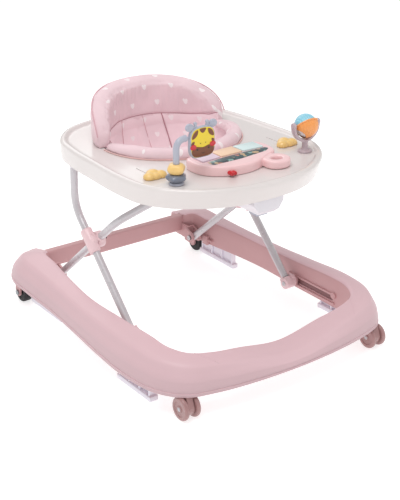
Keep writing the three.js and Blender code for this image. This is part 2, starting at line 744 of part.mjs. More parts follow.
function buildSeatBack() {
  const reach = 82;
  const steps = 20;
  const low = 403.6;
  const section = [
    [0.08, 0], [0.92, 0], [1, 0.1], [1.04, 0.5], [1.03, 0.86], [0.85, 0.97], [0.55, 1],
    [0.2, 0.96], [0.04, 0.84], [0, 0.1],
  ];
  const rings = Array.from({ length: steps + 1 }, (_, i) => {
    const share = -1 + (2 * i) / steps;
    const angle = degrees(reach * share);
    const arch = Math.max(0, 1 - Math.abs(share) ** 2.4) ** (1 / 2.4);
    const height = (SEAT_TOP_Z - low) * Math.max(0.07, arch);
    return section.map(([across, up]) => around(
      angle,
      THREE.MathUtils.lerp(130, 164, across),
      THREE.MathUtils.lerp(118, 152, across),
      low + up * height,
    ));
  });
  return loft(rings);
}

addPart('seat_bucket', buildSeatBucket(), FABRIC);
addPart('seat_ring', buildSeatRing(), FABRIC);
addPart('seat_back', buildSeatBack(), FABRIC);

// ---------------------------------------------------------------- toys on the tray
const TOY_Z = TRAY.floor + GAP;

function lobedDisc(radius, lobes, depth, low, high) {
  const count = lobes * 5;
  const rows = [[0.66, 0], [0.98, 0.33], [0.98, 0.67], [0.66, 1]];
  const rings = rows.map(([size, up]) => Array.from({ length: count }, (_, i) => {
    const angle = (i / count) * 2 * Math.PI;
    const r = size * radius * (1 + depth * Math.cos(lobes * angle));
    return point(r * Math.cos(angle), r * Math.sin(angle), THREE.MathUtils.lerp(low, high, up));
  }));
  return loft(rings);
}

function addGiraffeToy() {
  const [x, y] = GIRAFFE_XY;
  const stalkRadius = 6.2;
  const hole = bar('z', stalkRadius + 2 * GAP, TOY_Z - 1, 460, [0, 0], 12);
  const baseRing = turnedZ([[0, 0], [15, 0], [15, -3], [12, -6], [0, -6]], 16);
  baseRing.scale(1, 1, -1).translate(0, 0, TOY_Z);
  const neckZ = 489;
  const neckEnd = 22;
  const stalkPath = roundedPath([
    point(0, 0, TOY_Z + 0.5), point(0, 0, neckZ), point(neckEnd, 0, neckZ),
  ], [20]);
  const stalk = combine([
    tubeAlong(stalkPath, stalkRadius, 0, 4, 11),
    bar('x', 2.6, neckEnd - 1, 48, [0, neckZ], 12),
  ]);
  const greyBead = combine([lobedDisc(17.5, 5, 0.09, 409.8, 424)], [hole]);
  const yellowBead = combine([lobedDisc(14.5, 4, 0.1, 424.4, 443)], [hole]);
  addPart('giraffe_base_ring', combine([baseRing], [hole]), LAVENDER, [x, y, 0]);
  addPart('giraffe_bead_grey', greyBead, SLATE, [x, y, 0]);
  addPart('giraffe_bead_yellow', yellowBead, YELLOW, [x, y, 0]);
  addPart('giraffe_stalk', stalk, LAVENDER, [x, y, 0]);

  const face = new THREE.Shape();
  face.moveTo(-19, -31);
  face.quadraticCurveTo(0, -37, 19, -31);
  face.quadraticCurveTo(28, -27, 26, -8);
  face.quadraticCurveTo(24, 12, 16, 17);
  face.quadraticCurveTo(0, 24, -16, 17);
  face.quadraticCurveTo(-24, 12, -26, -8);
  face.quadraticCurveTo(-28, -27, -19, -31);
  const depth = 13;
  const plaque = new THREE.ExtrudeGeometry(face, { depth, bevelEnabled: false, curveSegments: 3 });
  plaque.rotateX(Math.PI / 2).translate(0, depth / 2, 0);
  const ears = [-1, 1].flatMap((side) => [
    bar('y', 8, -3, 3, [side * 26, 19], 12),
    bar('y', 3.2, -2.5, 2.5, [side * 13, 26], 8),
    box([side * 13 - 2, -2, 14], [side * 13 + 2, 2, 26]),
    box([Math.min(side * 12, side * 24), -2.5, 10], [Math.max(side * 12, side * 24), 2.5, 19]),
  ]);
  const headX = 57;
  const headZ = 480;
  const neckBore = bar('x', 2.9, -30, 52 - headX, [0, neckZ - headZ], 12);
  addPart('giraffe_head', combine([plaque, ...ears], [neckBore]), YELLOW, [x + headX, y, headZ]);
}

function addSpinnerToy() {
  const [x, y] = SPINNER_XY;
  const outer = 34;
  const inner = 28;
  const fork = new THREE.Shape();
  fork.absarc(0, 0, outer, Math.PI, 2 * Math.PI);
  fork.lineTo(outer, 6);
  fork.lineTo(inner, 6);
  fork.absarc(0, 0, inner, 2 * Math.PI, Math.PI, true);
  fork.lineTo(-inner, 6);
  fork.lineTo(-outer, 6);
  const arms = new THREE.ExtrudeGeometry(fork, { depth: 12, bevelEnabled: false, curveSegments: 8 });
  arms.rotateX(Math.PI / 2).translate(0, 6, SPINNER_Z);
  const body = combine([
    arms,
    bar('z', 6, TOY_Z + 3, SPINNER_Z - inner - 2, [0, 0], 14),
    bar('z', 14.5, TOY_Z, TOY_Z + 5, [0, 0], 20),
  ], [bar('x', 3.1, -40, 40, [0, SPINNER_Z], 12)]);
  addPart('spinner_fork', body, MAUVE, [x, y, 0]);
  const ball = combine([new THREE.SphereGeometry(25, 14, 8), bar('x', 2.8, -32, 32, [0, 0], 10)]);
  addPart('spinner_ball', ball, ORANGE, [x, y, SPINNER_Z]);
}

// A cloud-shaped bead on a flat stem that runs in a slot of the tray.
function buildBeadSlide(side) {
  const lobes = [[0, 4, 14.5], [side * 13, -4, 12.5], [side * -12, -5, 12.5]].map(([x, y, radius]) => {
    const lobe = new THREE.SphereGeometry(radius, 10, 6);
    return lobe.scale(1, 1, 0.8).translate(x, y, TOY_Z + 3);
  });
  const cloud = keepInside(combine(lobes), box([-40, -40, TOY_Z], [40, 40, 430]));
  return combine([
    cloud,
    box([-1.2, -5, TRAY.underside - 3], [1.2, 5, TOY_Z + 3]),
    box([-6, -6, TRAY.underside - 5], [6, 6, TRAY.underside - 0.5]),
  ]);
}

function keyShape(left, right, front, rear, lean) {
  const shape = new THREE.Shape();
  shape.moveTo(left, front);
  shape.lineTo(right, front + lean);
  shape.lineTo(right, rear + lean);
  shape.lineTo(left, rear);
  return shape;
}

const KEYS = [
  ['key_lilac', LILAC, keyShape(-74, -29, 178, 213, 4)],
  ['key_peach', PEACH, keyShape(-26, 27, 183, 218, 2)],
  ['key_mint', MINT, keyShape(30, 80, 185, 220, -2)],
];
const MUSIC_BUTTON = { x: -42, z: 411, front: 119, rear: 142 };

function buildMusicBox() {
  const outline = [
    [-84, 219], [-91, 190], [-82, 158], [-48, 131], [0, 124], [34, 133],
    [62, 147], [88, 158], [98, 185], [92, 221], [42, 227], [-20, 225],
  ];
  const curve = new THREE.CatmullRomCurve3(outline.map(([x, y]) => point(x, y, 0)), true);
  const shape = new THREE.Shape(curve.getPoints(24).slice(0, 24).map((p) => new THREE.Vector2(p.x, p.y)));
  const body = topPlate(shape, TOY_Z, MUSIC_TOP_Z, 2);
  const loop = (size, clockwise) => {
    const path = clockwise ? new THREE.Path() : new THREE.Shape();
    path.absellipse(68, 131, 28 - size, 24 - size, 0, Math.PI * 2, clockwise, 0);
    return path;
  };
  const handleShape = loop(0, false);
  handleShape.holes.push(loop(11, true));
  const handle = topPlate(handleShape, TOY_Z, MUSIC_TOP_Z - 2, 1.5);
  const pockets = KEYS.map(([, , keyOutline]) => {
    const pocket = topPlate(keyOutline, MUSIC_TOP_Z - 6, MUSIC_TOP_Z + 4);
    pocket.computeBoundingBox();
    const centre = pocket.boundingBox.getCenter(point());
    const grow = 1.02;
    return pocket.translate(-centre.x, -centre.y, 0).scale(grow, grow, 1).translate(centre.x, centre.y, 0);
  });
  const { x, z, front, rear } = MUSIC_BUTTON;
  const buttonBore = bar('y', 5.4, front, rear + 3, [x, z], 12);
  return combine([body, handle], [...pockets, buttonBore]);
}

addGiraffeToy();
addSpinnerToy();
[['left', -1], ['right', 1]].forEach(([hand, side]) => {
  addPart(`bead_slide_${hand}`, buildBeadSlide(side), YELLOW, [side * BEAD_SLIDE.x, BEAD_SLIDE.y, 0]);
});
addPart('music_box', buildMusicBox(), PINK_GLOSS);
KEYS.forEach(([name, finish, shape]) => {
  addPart(name, topPlate(shape, MUSIC_TOP_Z - 2.6, MUSIC_TOP_Z + 2.4), finish);
});
const { x: buttonX, z: buttonZ, front: buttonFront, rear: buttonRear } = MUSIC_BUTTON;
addPart('music_button', bar('y', 5, buttonFront, buttonRear, [buttonX, buttonZ], 12), RED);

export default walker;
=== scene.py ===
from math import atan2, cos, degrees, exp, hypot, pi, radians, sin
import bpy
import bmesh
from mathutils import Vector, Matrix, noise


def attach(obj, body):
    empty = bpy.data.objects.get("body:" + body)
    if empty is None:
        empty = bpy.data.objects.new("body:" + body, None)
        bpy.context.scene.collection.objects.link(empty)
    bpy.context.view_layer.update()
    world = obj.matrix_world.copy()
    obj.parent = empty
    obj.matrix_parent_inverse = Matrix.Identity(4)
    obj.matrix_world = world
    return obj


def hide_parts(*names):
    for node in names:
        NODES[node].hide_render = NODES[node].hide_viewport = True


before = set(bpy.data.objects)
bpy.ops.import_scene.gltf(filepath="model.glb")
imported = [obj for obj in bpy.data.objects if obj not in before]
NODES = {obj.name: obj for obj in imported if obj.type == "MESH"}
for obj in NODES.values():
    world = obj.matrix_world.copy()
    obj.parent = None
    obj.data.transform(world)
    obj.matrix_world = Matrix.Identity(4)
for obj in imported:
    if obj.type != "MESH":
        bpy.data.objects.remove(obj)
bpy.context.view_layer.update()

TAU = 2 * pi

# Driving dimensions in millimetres. X is to the right, Y back from the line of the front castors, Z up.
ORIGIN_Y = 317.5                   # from the line of the front castors to the middle of the base
WHEEL_RADIUS = 24
CASTOR_X, CASTOR_Y = 240, 5        # middle of the axle of a front castor
REAR_WHEEL_X, REAR_WHEEL_Y = 244, 632
TUBE_RADIUS = 8
FRONT_TUBE_X, REAR_TUBE_X = 205, 188
FOOT, CROSSING, REAR_PIVOT = (238, 68), (390, 220), (567, 71)      # y and z of the pivots of the legs
ADJUSTER_BAR = (205, 376)          # y and z
TRAY_TOP = 403
SEAT_Y = 395                       # middle of the seat opening
OPENING_X, OPENING_Y = 148, 136    # its half-axes
SEAT_BASE = 403.8                  # underside of the padded back and ring
BUCKET_TOP = 402.4
TOY_Z = 403.3                      # underside of the toys on the tray
SLIDE_X = 164                      # the two slots the clouds slide in
STALK_X, STALK_Y, STALK_TOP = -152, 157, 489
BALL = (168, 158, 459)
MUSIC_TOP = 423.5

HANDS = (("left", -1), ("right", 1))


# ---------------------------------------------------------------- node materials
class Graph:
    """A short way to write shader nodes."""

    def __init__(self, name, color, rough, metal=0.0, coat=0.0, coat_rough=0.1, specular=0.5):
        self.mat = bpy.data.materials.new(name)
        self.mat.use_nodes = True
        self.tree = self.mat.node_tree
        self.bsdf = self.tree.nodes["Principled BSDF"]
        self.set("Base Color", (*color, 1))
        self.set("Roughness", rough)
        self.set("Metallic", metal)
        self.set("Coat Weight", coat)
        self.set("Coat Roughness", coat_rough)
        self.set("Specular IOR Level", specular)
        self.place = self.node("ShaderNodeTexCoord").outputs["Object"]

    def set(self, socket, value):
        self.bsdf.inputs[socket].default_value = value

    def node(self, kind, **settings):
        made = self.tree.nodes.new(kind)
        for key, value in settings.items():
            setattr(made, key, value)
        return made

    def link(self, a, b):
        self.tree.links.new(a, b)

    def math(self, operation, a, b=None):
        made = self.node("ShaderNodeMath", operation=operation)
        for value, socket in ((a, made.inputs[0]), (b, made.inputs[1])):
            if value is None:
                continue
            if isinstance(value, (int, float)):
                socket.default_value = value
            else:
                self.link(value, socket)
        return made.outputs[0]

    def noise(self, scale, detail=3.0, rough=0.5, stretch=None):
        made = self.node("ShaderNodeTexNoise")
        made.inputs["Scale"].default_value = scale
        made.inputs["Detail"].default_value = detail
        made.inputs["Roughness"].default_value = rough
        source = self.place
        if stretch:
            mapping = self.node("ShaderNodeMapping")
            mapping.inputs["Scale"].default_value = stretch
            self.link(self.place, mapping.inputs["Vector"])
            source = mapping.outputs["Vector"]
        self.link(source, made.inputs["Vector"])
        return made.outputs["Fac"]

    def spread(self, value, low, high, from_low=0.3, from_high=0.7):
        made = self.node("ShaderNodeMapRange")
        self.link(value, made.inputs["Value"])
        for name, number in (("From Min", from_low), ("From Max", from_high),
                             ("To Min", low), ("To Max", high)):
            made.inputs[name].default_value = number
        return made.outputs["Result"]

    def mix(self, factor, a, b):
        made = self.node("ShaderNodeMix", data_type="RGBA")
        self.link(factor, made.inputs[0])
        for value, socket in ((a, made.inputs[6]), (b, made.inputs[7])):
            if isinstance(value, tuple):
                socket.default_value = (*value, 1)
            else:
                self.link(value, socket)
        return made.outputs[2]

    def uneven(self, scale, detail, base, dark, light):
        """A colour that drifts between two shades of its base."""
        return self.mix(self.spread(self.noise(scale, detail), 0, 1), shade(base, dark), shade(base, light))

    def color(self, value):
        self.link(value, self.bsdf.inputs["Base Color"])

    def roughness(self, value):
        self.link(value, self.bsdf.inputs["Roughness"])

    def bump(self, height, distance, strength=1.0):
        made = self.node("ShaderNodeBump")
        made.inputs["Strength"].default_value = strength
        made.inputs["Distance"].default_value = distance
        self.link(height, made.inputs["Height"])
        previous = self.bsdf.inputs["Normal"].links
        if previous:
            self.link(previous[0].from_socket, made.inputs["Normal"])
        self.link(made.outputs["Normal"], self.bsdf.inputs["Normal"])


def rgb(code):
    """A linear colour from a hex code."""
    parts = [int(code[i:i + 2], 16) / 255 for i in (0, 2, 4)]
    return tuple(c / 12.92 if c <= 0.04045 else ((c + 0.055) / 1.055) ** 2.4 for c in parts)


def shade(color, factor):
    return tuple(min(1.0, c * factor) for c in color)


def plastic(name, code, rough=0.42, coat=0.0, grain=0.00006, wall=1.0):
    """Moulded plastic: a barely uneven tint, an even sheen and a fine moulded grain.

    wall is how much of the tint upright faces keep: painted shade that darkens the upright faces.
    """
    base = rgb(code)
    g = Graph(name, base, rough, coat=coat)
    color = g.uneven(7, 2, base, 0.985, 1.015)
    # Painted shade: faces that turn away from straight up darken towards the wall share of the tint.
    if wall < 1:
        split = g.node("ShaderNodeSeparateXYZ")
        g.link(g.node("ShaderNodeNewGeometry").outputs["Normal"], split.inputs[0])
        free_of_painted_shade = g.spread(split.outputs["Z"], 0, 1, 0.05, 0.65)
        color = g.mix(free_of_painted_shade, shade(base, wall), color)
    g.color(color)
    g.roughness(g.spread(g.noise(22, 2), rough - 0.015, rough + 0.015))
    g.bump(g.noise(1500, 2), grain, 0.4)
    return g.mat


def painted_tube(name, code):
    base = rgb(code)
    g = Graph(name, base, 0.28, metal=0.15, coat=0.6, coat_rough=0.08)
    g.color(g.uneven(12, 2, base, 0.985, 1.015))
    g.roughness(g.spread(g.noise(40, 2), 0.26, 0.31))
    g.bump(g.noise(900, 2), 0.00003, 0.4)
    return g.mat


def steel(name):
    base = rgb("9aa0a3")
    g = Graph(name, base, 0.34, metal=0.92)
    brushed = g.noise(300, 4, 0.6, (1, 12, 12))
    g.color(g.mix(g.spread(brushed, 0, 1), shade(base, 0.8), shade(base, 1.1)))
    g.roughness(g.spread(brushed, 0.25, 0.45))
    g.bump(brushed, 0.00004, 0.6)
    return g.mat


def rubber(name):
    base = rgb("1a191d")
    g = Graph(name, base, 0.62)
    g.color(g.uneven(60, 6, base, 0.7, 1.6))
    g.roughness(g.spread(g.noise(120, 4), 0.5, 0.75))
    g.bump(g.noise(900, 4), 0.0001, 0.6)
    return g.mat


def heart_mask(g, u, v, spacing_u, spacing_v, size):
    """1 inside small hearts on a staggered grid over u and v, in metres."""
    row = g.math("FLOOR", g.math("DIVIDE", v, spacing_v))
    odd = g.math("MODULO", g.math("ABSOLUTE", row), 2.0)
    shifted = g.math("ADD", g.math("DIVIDE", u, spacing_u), g.math("MULTIPLY", odd, 0.5))
    cell_u = g.math("MULTIPLY", g.math("SUBTRACT", g.math("FRACT", shifted), 0.5), spacing_u / size)
    down = g.math("SUBTRACT", g.math("FRACT", g.math("DIVIDE", v, spacing_v)), 0.5)
    cell_v = g.math("MULTIPLY", down, spacing_v / size)
    lean = g.math("ADD", cell_u, g.math("MULTIPLY", cell_v, 0.2))
    x2 = g.math("MULTIPLY", lean, lean)
    y2 = g.math("MULTIPLY", cell_v, cell_v)
    ring = g.math("SUBTRACT", g.math("ADD", x2, y2), 1.0)
    cube = g.math("MULTIPLY", ring, g.math("MULTIPLY", ring, ring))
    lobes = g.math("MULTIPLY", x2, g.math("MULTIPLY", y2, cell_v))
    inside = g.math("SUBTRACT", lobes, cube)
    return g.spread(inside, 0, 1, -0.01, 0.04)


def fabric(name, code, hearts=True):
    """Satin weave around the seat opening: u runs round the oval, v up its wall."""
    base = rgb(code)
    g = Graph(name, base, 0.72, specular=0.35)
    g.set("Sheen Weight", 0.35)
    g.set("Sheen Roughness", 0.4)
    g.set("Sheen Tint", (1.0, 0.93, 0.94, 1))
    split = g.node("ShaderNodeSeparateXYZ")
    g.link(g.place, split.inputs[0])
    x, z = split.outputs["X"], split.outputs["Z"]
    y = g.math("SUBTRACT", split.outputs["Y"], (SEAT_Y - ORIGIN_Y) * 0.001)
    angle = g.math("ARCTAN2", x, y)
    u = g.math("MULTIPLY", angle, 0.145)
    color = g.uneven(16, 5, base, 0.93, 1.05)
    if hearts:
        wide = g.math("MULTIPLY", y, 1.1)
        reach = g.math("SQRT", g.math("ADD", g.math("MULTIPLY", x, x), g.math("MULTIPLY", wide, wide)))
        v = g.math("SUBTRACT", g.math("ADD", z, reach), 0.125)
        mask = heart_mask(g, g.math("ADD", u, 0.5), v, 0.074, 0.036, 0.0058)
        away = g.spread(reach, 0, 0.85, 0.075, 0.09)
        color = g.mix(g.math("MULTIPLY", mask, away), color, rgb("fbf3f4"))
    g.color(color)
    g.roughness(g.spread(g.noise(180, 4), 0.62, 0.82))
    warp = g.math("SINE", g.math("MULTIPLY", u, 7000.0))
    weft = g.math("SINE", g.math("MULTIPLY", z, 7000.0))
    g.bump(g.math("MULTIPLY", warp, weft), 0.00012, 0.35)
    g.bump(g.noise(70, 5, 0.55), 0.0012, 0.22)
    return g.mat


MATERIALS = {
    # The shell's wall of 0.78 paints shade on its upright faces.
    "shell": plastic("pink_moulded", "e1bfc5", 0.42, grain=0.00008, wall=0.78),
    "ivory": plastic("tray_ivory", "e4dddb", 0.24, coat=0.45, grain=0.00004),
    "tube": painted_tube("tube_paint", "c9c5c9"),
    "steel": steel("steel_brushed"),
    "black": rubber("wheel_rubber"),
    "cloth": fabric("seat_fabric", "eed2d8"),
    # A lighter copy of the seat fabric: painted light inside the bucket and on its collar.
    "cloth_painted_light": fabric("seat_fabric_painted_light", "f6dfe4"),
    "cloth_plain": fabric("seat_fabric_edge", "e9c0bd", hearts=False),
    "piping": fabric("seat_piping", "dcb0b8", hearts=False),
    "thread": fabric("seat_thread", "b98791", hearts=False),
}
# The name of the material, its colour, its roughness and its clear coat.
PLASTICS = {
    # inner is a darker copy of the shell pink: painted shade for the rail's inner walls and for parts under,
    # behind or between others.
    "inner": ("pink_moulded_painted_shade", "cb9fa1", 0.46),
    "gloss": ("pink_semi_gloss", "ecccd0", 0.3, 0.25),
    "castor": ("pink_castor", "a9807f", 0.26, 0.35),
    "music": ("pink_toy_gloss", "fad2d4", 0.25, 0.4),
    "white": ("housing_white", "e8e4ea", 0.35),
    "pad": ("stopper_lavender", "f2eff9", 0.4),
    "lavender": ("toy_lavender", "b2b5c3", 0.28, 0.3),
    "slate": ("toy_slate", "7b8292", 0.28, 0.3),
    "yellow": ("toy_yellow", "f4cc80", 0.3, 0.3),
    "mauve": ("toy_mauve", "c5b3ba", 0.34, 0.2),
    "face": ("toy_face_yellow", "f2d62e", 0.3, 0.3),
    "brown": ("toy_brown", "7a4426", 0.34, 0.2),
    "red": ("toy_red", "cf1f2b", 0.24, 0.5),
    "dark": ("toy_dark", "2b2220", 0.4),
    # hole is a near-black sheet of painted shade that stands in for holes.
    "hole": ("hole_painted_shade", "33272a", 0.7),
    # recess is a dark pink of painted shade for the back of the slot in the rail.
    "recess": ("slot_back_painted_shade", "8a6264", 0.6),
    "blue": ("ball_blue", "93d2e6", 0.28, 0.3),
    "orange": ("ball_orange", "f7a45a", 0.28, 0.3),
    "lilac": ("key_lilac", "ead3e0", 0.4),
    "peach": ("key_peach", "f5d2b4", 0.4),
    "mint": ("key_mint", "d6e8e8", 0.4),
}
MATERIALS.update((key, plastic(*looks)) for key, looks in PLASTICS.items())


def strip_material():
    """A dark teal printed strip with soft patches of colour."""
    g = Graph("printed_strip", rgb("2f4a50"), 0.35, coat=0.3)
    cells = g.node("ShaderNodeTexVoronoi")
    cells.inputs["Scale"].default_value = 110
    g.link(g.place, cells.inputs["Vector"])
    ramp = g.node("ShaderNodeValToRGB")
    ramp.color_ramp.interpolation = "CONSTANT"
    stops = ((0.0, "2f4a50"), (0.38, "3d6a6c"), (0.52, "2a3a42"), (0.62, "c97c6c"), (0.72, "8fb7ae"),
             (0.8, "35525a"), (0.9, "d8b58c"))
    for place, code in stops[2:]:
        ramp.color_ramp.elements.new(place)
    for element, (place, code) in zip(ramp.color_ramp.elements, stops):
        element.position = place
        element.color = (*rgb(code), 1)
    split = g.node("ShaderNodeSeparateColor")
    g.link(cells.outputs["Color"], split.inputs[0])
    g.link(split.outputs[0], ramp.inputs[0])
    g.color(g.mix(g.spread(g.noise(400, 3), 0, 0.35), ramp.outputs[0], rgb("22343a")))
    g.bump(g.noise(1500, 2), 0.00004, 0.4)
    return g.mat


MATERIALS["strip"] = strip_material()


# ---------------------------------------------------------------- mesh helpers, in millimetres
def lerp(a, b, t):
    return a + (b - a) * t


def catmull(points, count, closed=False):
    """Evenly parametrised points on a centripetal Catmull-Rom curve through the given points."""
    points = [Vector(p) for p in points]
    spans = len(points) if closed else len(points) - 1
    if closed:
        points = points[-1:] + points + points[:2]
    else:
        points = [points[0] * 2 - points[1]] + points + [points[-1] * 2 - points[-2]]
    out = []
    for i in range(count if closed else count + 1):
        t = i / count * spans
        k = min(int(t), spans - 1)
        w = t - k
        p0, p1, p2, p3 = points[k:k + 4]
        d0, d1, d2 = ((b - a).length_squared ** 0.25 for a, b in ((p0, p1), (p1, p2), (p2, p3)))
        d1 = max(d1, 1e-4)
        d0 = d0 if d0 > 1e-4 else d1
        d2 = d2 if d2 > 1e-4 else d1
        m1 = ((p1 - p0) / d0 - (p2 - p0) / (d0 + d1) + (p2 - p1) / d1) * d1
        m2 = ((p2 - p1) / d1 - (p3 - p1) / (d1 + d2) + (p3 - p2) / d2) * d1
        w2, w3 = w * w, w * w * w
        out.append(p1 * (2 * w3 - 3 * w2 + 1) + m1 * (w3 - 2 * w2 + w)
                   + p2 * (-2 * w3 + 3 * w2) + m2 * (w3 - w2))
    return out


def curve(points, count, closed=True):
    """A smooth 2D outline through the given points."""
    return [(p.x, p.y) for p in catmull([(a, b, 0) for a, b in points], count, closed)]


def join(*meshes):
    verts, faces = [], []
    for more_verts, more_faces in meshes:
        start = len(verts)
        verts.extend(more_verts)
        faces.extend(tuple(i + start for i in face) for face in more_faces)
    return verts, faces


def loft(rings, closed=False):
    """A skin over rings of equal length, with flat ends unless it closes on itself."""
    n = len(rings[0])
    verts = [tuple(p) for ring in rings for p in ring]
    faces = []
    for i in range(len(rings) if closed else len(rings) - 1):
        a, b = i * n, ((i + 1) % len(rings)) * n
        faces.extend((a + j, b + j, b + (j + 1) % n, a + (j + 1) % n) for j in range(n))
    if not closed:
        faces.append(tuple(range(n)))
        faces.append(tuple(range((len(rings) - 1) * n, len(rings) * n)))
    return verts, faces


def lathe(axis, centre, profile, sides):
    """Turns a profile of (radius, place along the axis) about X, Y or Z through centre."""
    rings = []
    for radius, along in profile:
        ring = []
        for i in range(sides):
            a = TAU * i / sides
            c, s = radius * cos(a), radius * sin(a)
            step = {"x": (along, c, s), "y": (c, along, s), "z": (c, s, along)}[axis]
            ring.append(tuple(q + w for q, w in zip(centre, step)))
        rings.append(ring)
    return loft(rings)


def rounded_edges(low, high, soft):
    """How far a piece draws in at each level from low to high, to round its edges."""
    return [(soft, low), (0.3 * soft, low + 0.3 * soft), (0, low + soft),
            (0, high - soft), (0.3 * soft, high - 0.3 * soft), (soft, high)]


def disc(axis, centre, radius, low, high, soft, sides):
    """A short bar with rounded edges."""
    return lathe(axis, centre, [(radius - d, along) for d, along in rounded_edges(low, high, soft)], sides)


def sweep(path, section, up=(1, 0, 0)):
    """Carries a 2D section along a path, with its first axis kept square to `up` at the start."""
    path = [Vector(p) for p in path]
    side = Vector(up)
    rings = []
    for i, p in enumerate(path):
        ahead = path[min(i + 1, len(path) - 1)] - path[max(i - 1, 0)]
        ahead.normalize()
        side = (side - ahead * side.dot(ahead)).normalized()
        other = ahead.cross(side)
        rings.append([tuple(p + side * a + other * b) for a, b in section])
    return loft(rings)


def oval(cx, cy, rx, ry, sides=28):
    turns = [TAU * i / sides for i in range(sides)]
    return [(cx + rx * cos(a), cy + ry * sin(a)) for a in turns]


def circle(radius, sides=24):
    return oval(0, 0, radius, radius, sides)


def bend(before, corner, after, radius, steps):
    """Points round a corner, on a curve that meets each side a radius away from it."""
    before, corner, after = Vector(before), Vector(corner), Vector(after)
    enter = corner + (before - corner).normalized() * radius
    leave = corner + (after - corner).normalized() * radius
    shares = [k / steps for k in range(steps + 1)]
    return [enter * (1 - t) ** 2 + corner * 2 * t * (1 - t) + leave * t * t for t in shares]


def rounded_path(corners, radii, steps):
    """An open path with its inner corners rounded, each by its own radius."""
    path = [Vector(corners[0])]
    for before, corner, after, radius in zip(corners, corners[1:], corners[2:], radii):
        path += bend(before, corner, after, radius, steps)
    return path + [Vector(corners[-1])]


def soft_corners(points, radius):
    """A closed 2D outline with its corners rounded."""
    corners = zip(points[-1:] + points[:-1], points, points[1:] + points[:1])
    return [tuple(p) for three in corners for p in bend(*three, radius, 4)]


def rounded_rectangle(x0, y0, x1, y1, soft):
    """A 2D outline that runs anticlockwise from its right side."""
    outline = []
    for cx, cy, start in ((x1 - soft, y1 - soft, 0), (x0 + soft, y1 - soft, 90),
                          (x0 + soft, y0 + soft, 180), (x1 - soft, y0 + soft, 270)):
        for k in range(4):
            a = radians(start + 30 * k)
            outline.append((cx + soft * cos(a), cy + soft * sin(a)))
    return outline


def normals(outline):
    """The inward unit normals of a closed 2D outline that runs anticlockwise."""
    out = []
    for (ax, ay), (bx, by) in zip(outline[-1:] + outline[:-1], outline[1:] + outline[:1]):
        size = hypot(bx - ax, by - ay) or 1
        out.append(((ay - by) / size, (bx - ax) / size))
    return out


def inset(outline, distance):
    return [(x + nx * distance, y + ny * distance) for (x, y), (nx, ny) in zip(outline, normals(outline))]


def plate(outline, low, high, soft, place=lambda x, y, z: (x, y, z)):
    """A flat piece with rounded top and bottom edges."""
    return loft([[place(x, y, z) for x, y in inset(outline, d)] for d, z in rounded_edges(low, high, soft)])


def block(low, high, soft):
    """A box with all its edges rounded."""
    (x0, y0, z0), (x1, y1, z1) = low, high
    return plate(rounded_rectangle(x0, y0, x1, y1, soft), z0, z1, soft * 0.8)


def mirror(mesh, side):
    """The mesh itself for the right side, and its mirror image for the left one."""
    if side > 0:
        return mesh
    verts, faces = mesh
    return [(-x, y, z) for x, y, z in verts], [tuple(reversed(f)) for f in faces]


def add_object(name, data):
    obj = bpy.data.objects.new(name, data)
    bpy.context.scene.collection.objects.link(obj)
    return obj


def modify(obj, kind, **settings):
    """Adds a modifier of a kind with its settings."""
    made = obj.modifiers.new(kind.lower(), kind)
    for key, value in settings.items():
        setattr(made, key, value)


def shade_smooth(data):
    data.polygons.foreach_set("use_smooth", [True] * len(data.polygons))


def make(name, mesh, material, body, replaces=(), smooth=35, ride=True):
    """An object from a mesh in millimetres, measured from the front castor axle line."""
    verts, faces = mesh
    data = bpy.data.meshes.new(name)
    data.from_pydata([(x * 0.001, (y - ORIGIN_Y) * 0.001, z * 0.001) for x, y, z in verts], [], faces)
    work = bmesh.new()
    work.from_mesh(data)
    bmesh.ops.recalc_face_normals(work, faces=work.faces)
    work.to_mesh(data)
    work.free()
    shade_smooth(data)
    data.set_sharp_from_angle(angle=radians(smooth))
    obj = add_object(name, data)
    data.materials.append(MATERIALS[material])
    if ride:
        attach(obj, body)
    if replaces:
        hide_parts(*replaces)
    return obj


def make_pair(name, mesh, material, body, node=None):
    """The same piece on both sides, from the mesh of the right-hand one."""
    for hand, side in HANDS:
        replaced = [f"{node}_{hand}"] if node else ()
        make(f"{name}_{hand}", mirror(mesh, side), material, body, replaced)


def declare(obj, body, node=None):
    """Says what a piece shaped after it was made rides on and stands for."""
    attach(obj, body)
    if node:
        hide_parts(node)


def settle(obj):
    """Applies every modifier on an object that rides on nothing yet."""
    graph = bpy.context.evaluated_depsgraph_get()
    baked = bpy.data.meshes.new_from_object(obj.evaluated_get(graph), depsgraph=graph)
    obj.modifiers.clear()
    old = obj.data
    obj.data = baked
    bpy.data.meshes.remove(old)


def voxel_skin(obj, size):
    """One closed skin round everything in the object, from cubes of a size in millimetres."""
    modify(obj, "REMESH", mode="VOXEL", voxel_size=size * 0.001)
    settle(obj)


def fuse(obj, size, smoothing, rounds, material):
    """Makes one smooth moulding of overlapping closed meshes."""
    voxel_skin(obj, size)
    modify(obj, "SMOOTH", factor=smoothing, iterations=rounds)
    settle(obj)
    shade_smooth(obj.data)
    obj.data.materials.clear()
    obj.data.materials.append(MATERIALS[material])


def carve(obj, cutters):
    """Cuts closed meshes in millimetres out of an object."""
    for i, cutter in enumerate(cutters):
        tool = make(f"tool_{i}", cutter, "dark", None, ride=False)
        modify(obj, "BOOLEAN", operation="DIFFERENCE", solver="EXACT", object=tool)
        settle(obj)
        bpy.data.objects.remove(tool)
    obj.data.set_sharp_from_angle(angle=radians(35))


# ---------------------------------------------------------------- camera, light and floor
CAMERA_PLACE, CAMERA_TURN, CAMERA_RISE, LENS = (-1.31945, -1.81868, 1.15578), -36.4, 23.65, 82.68

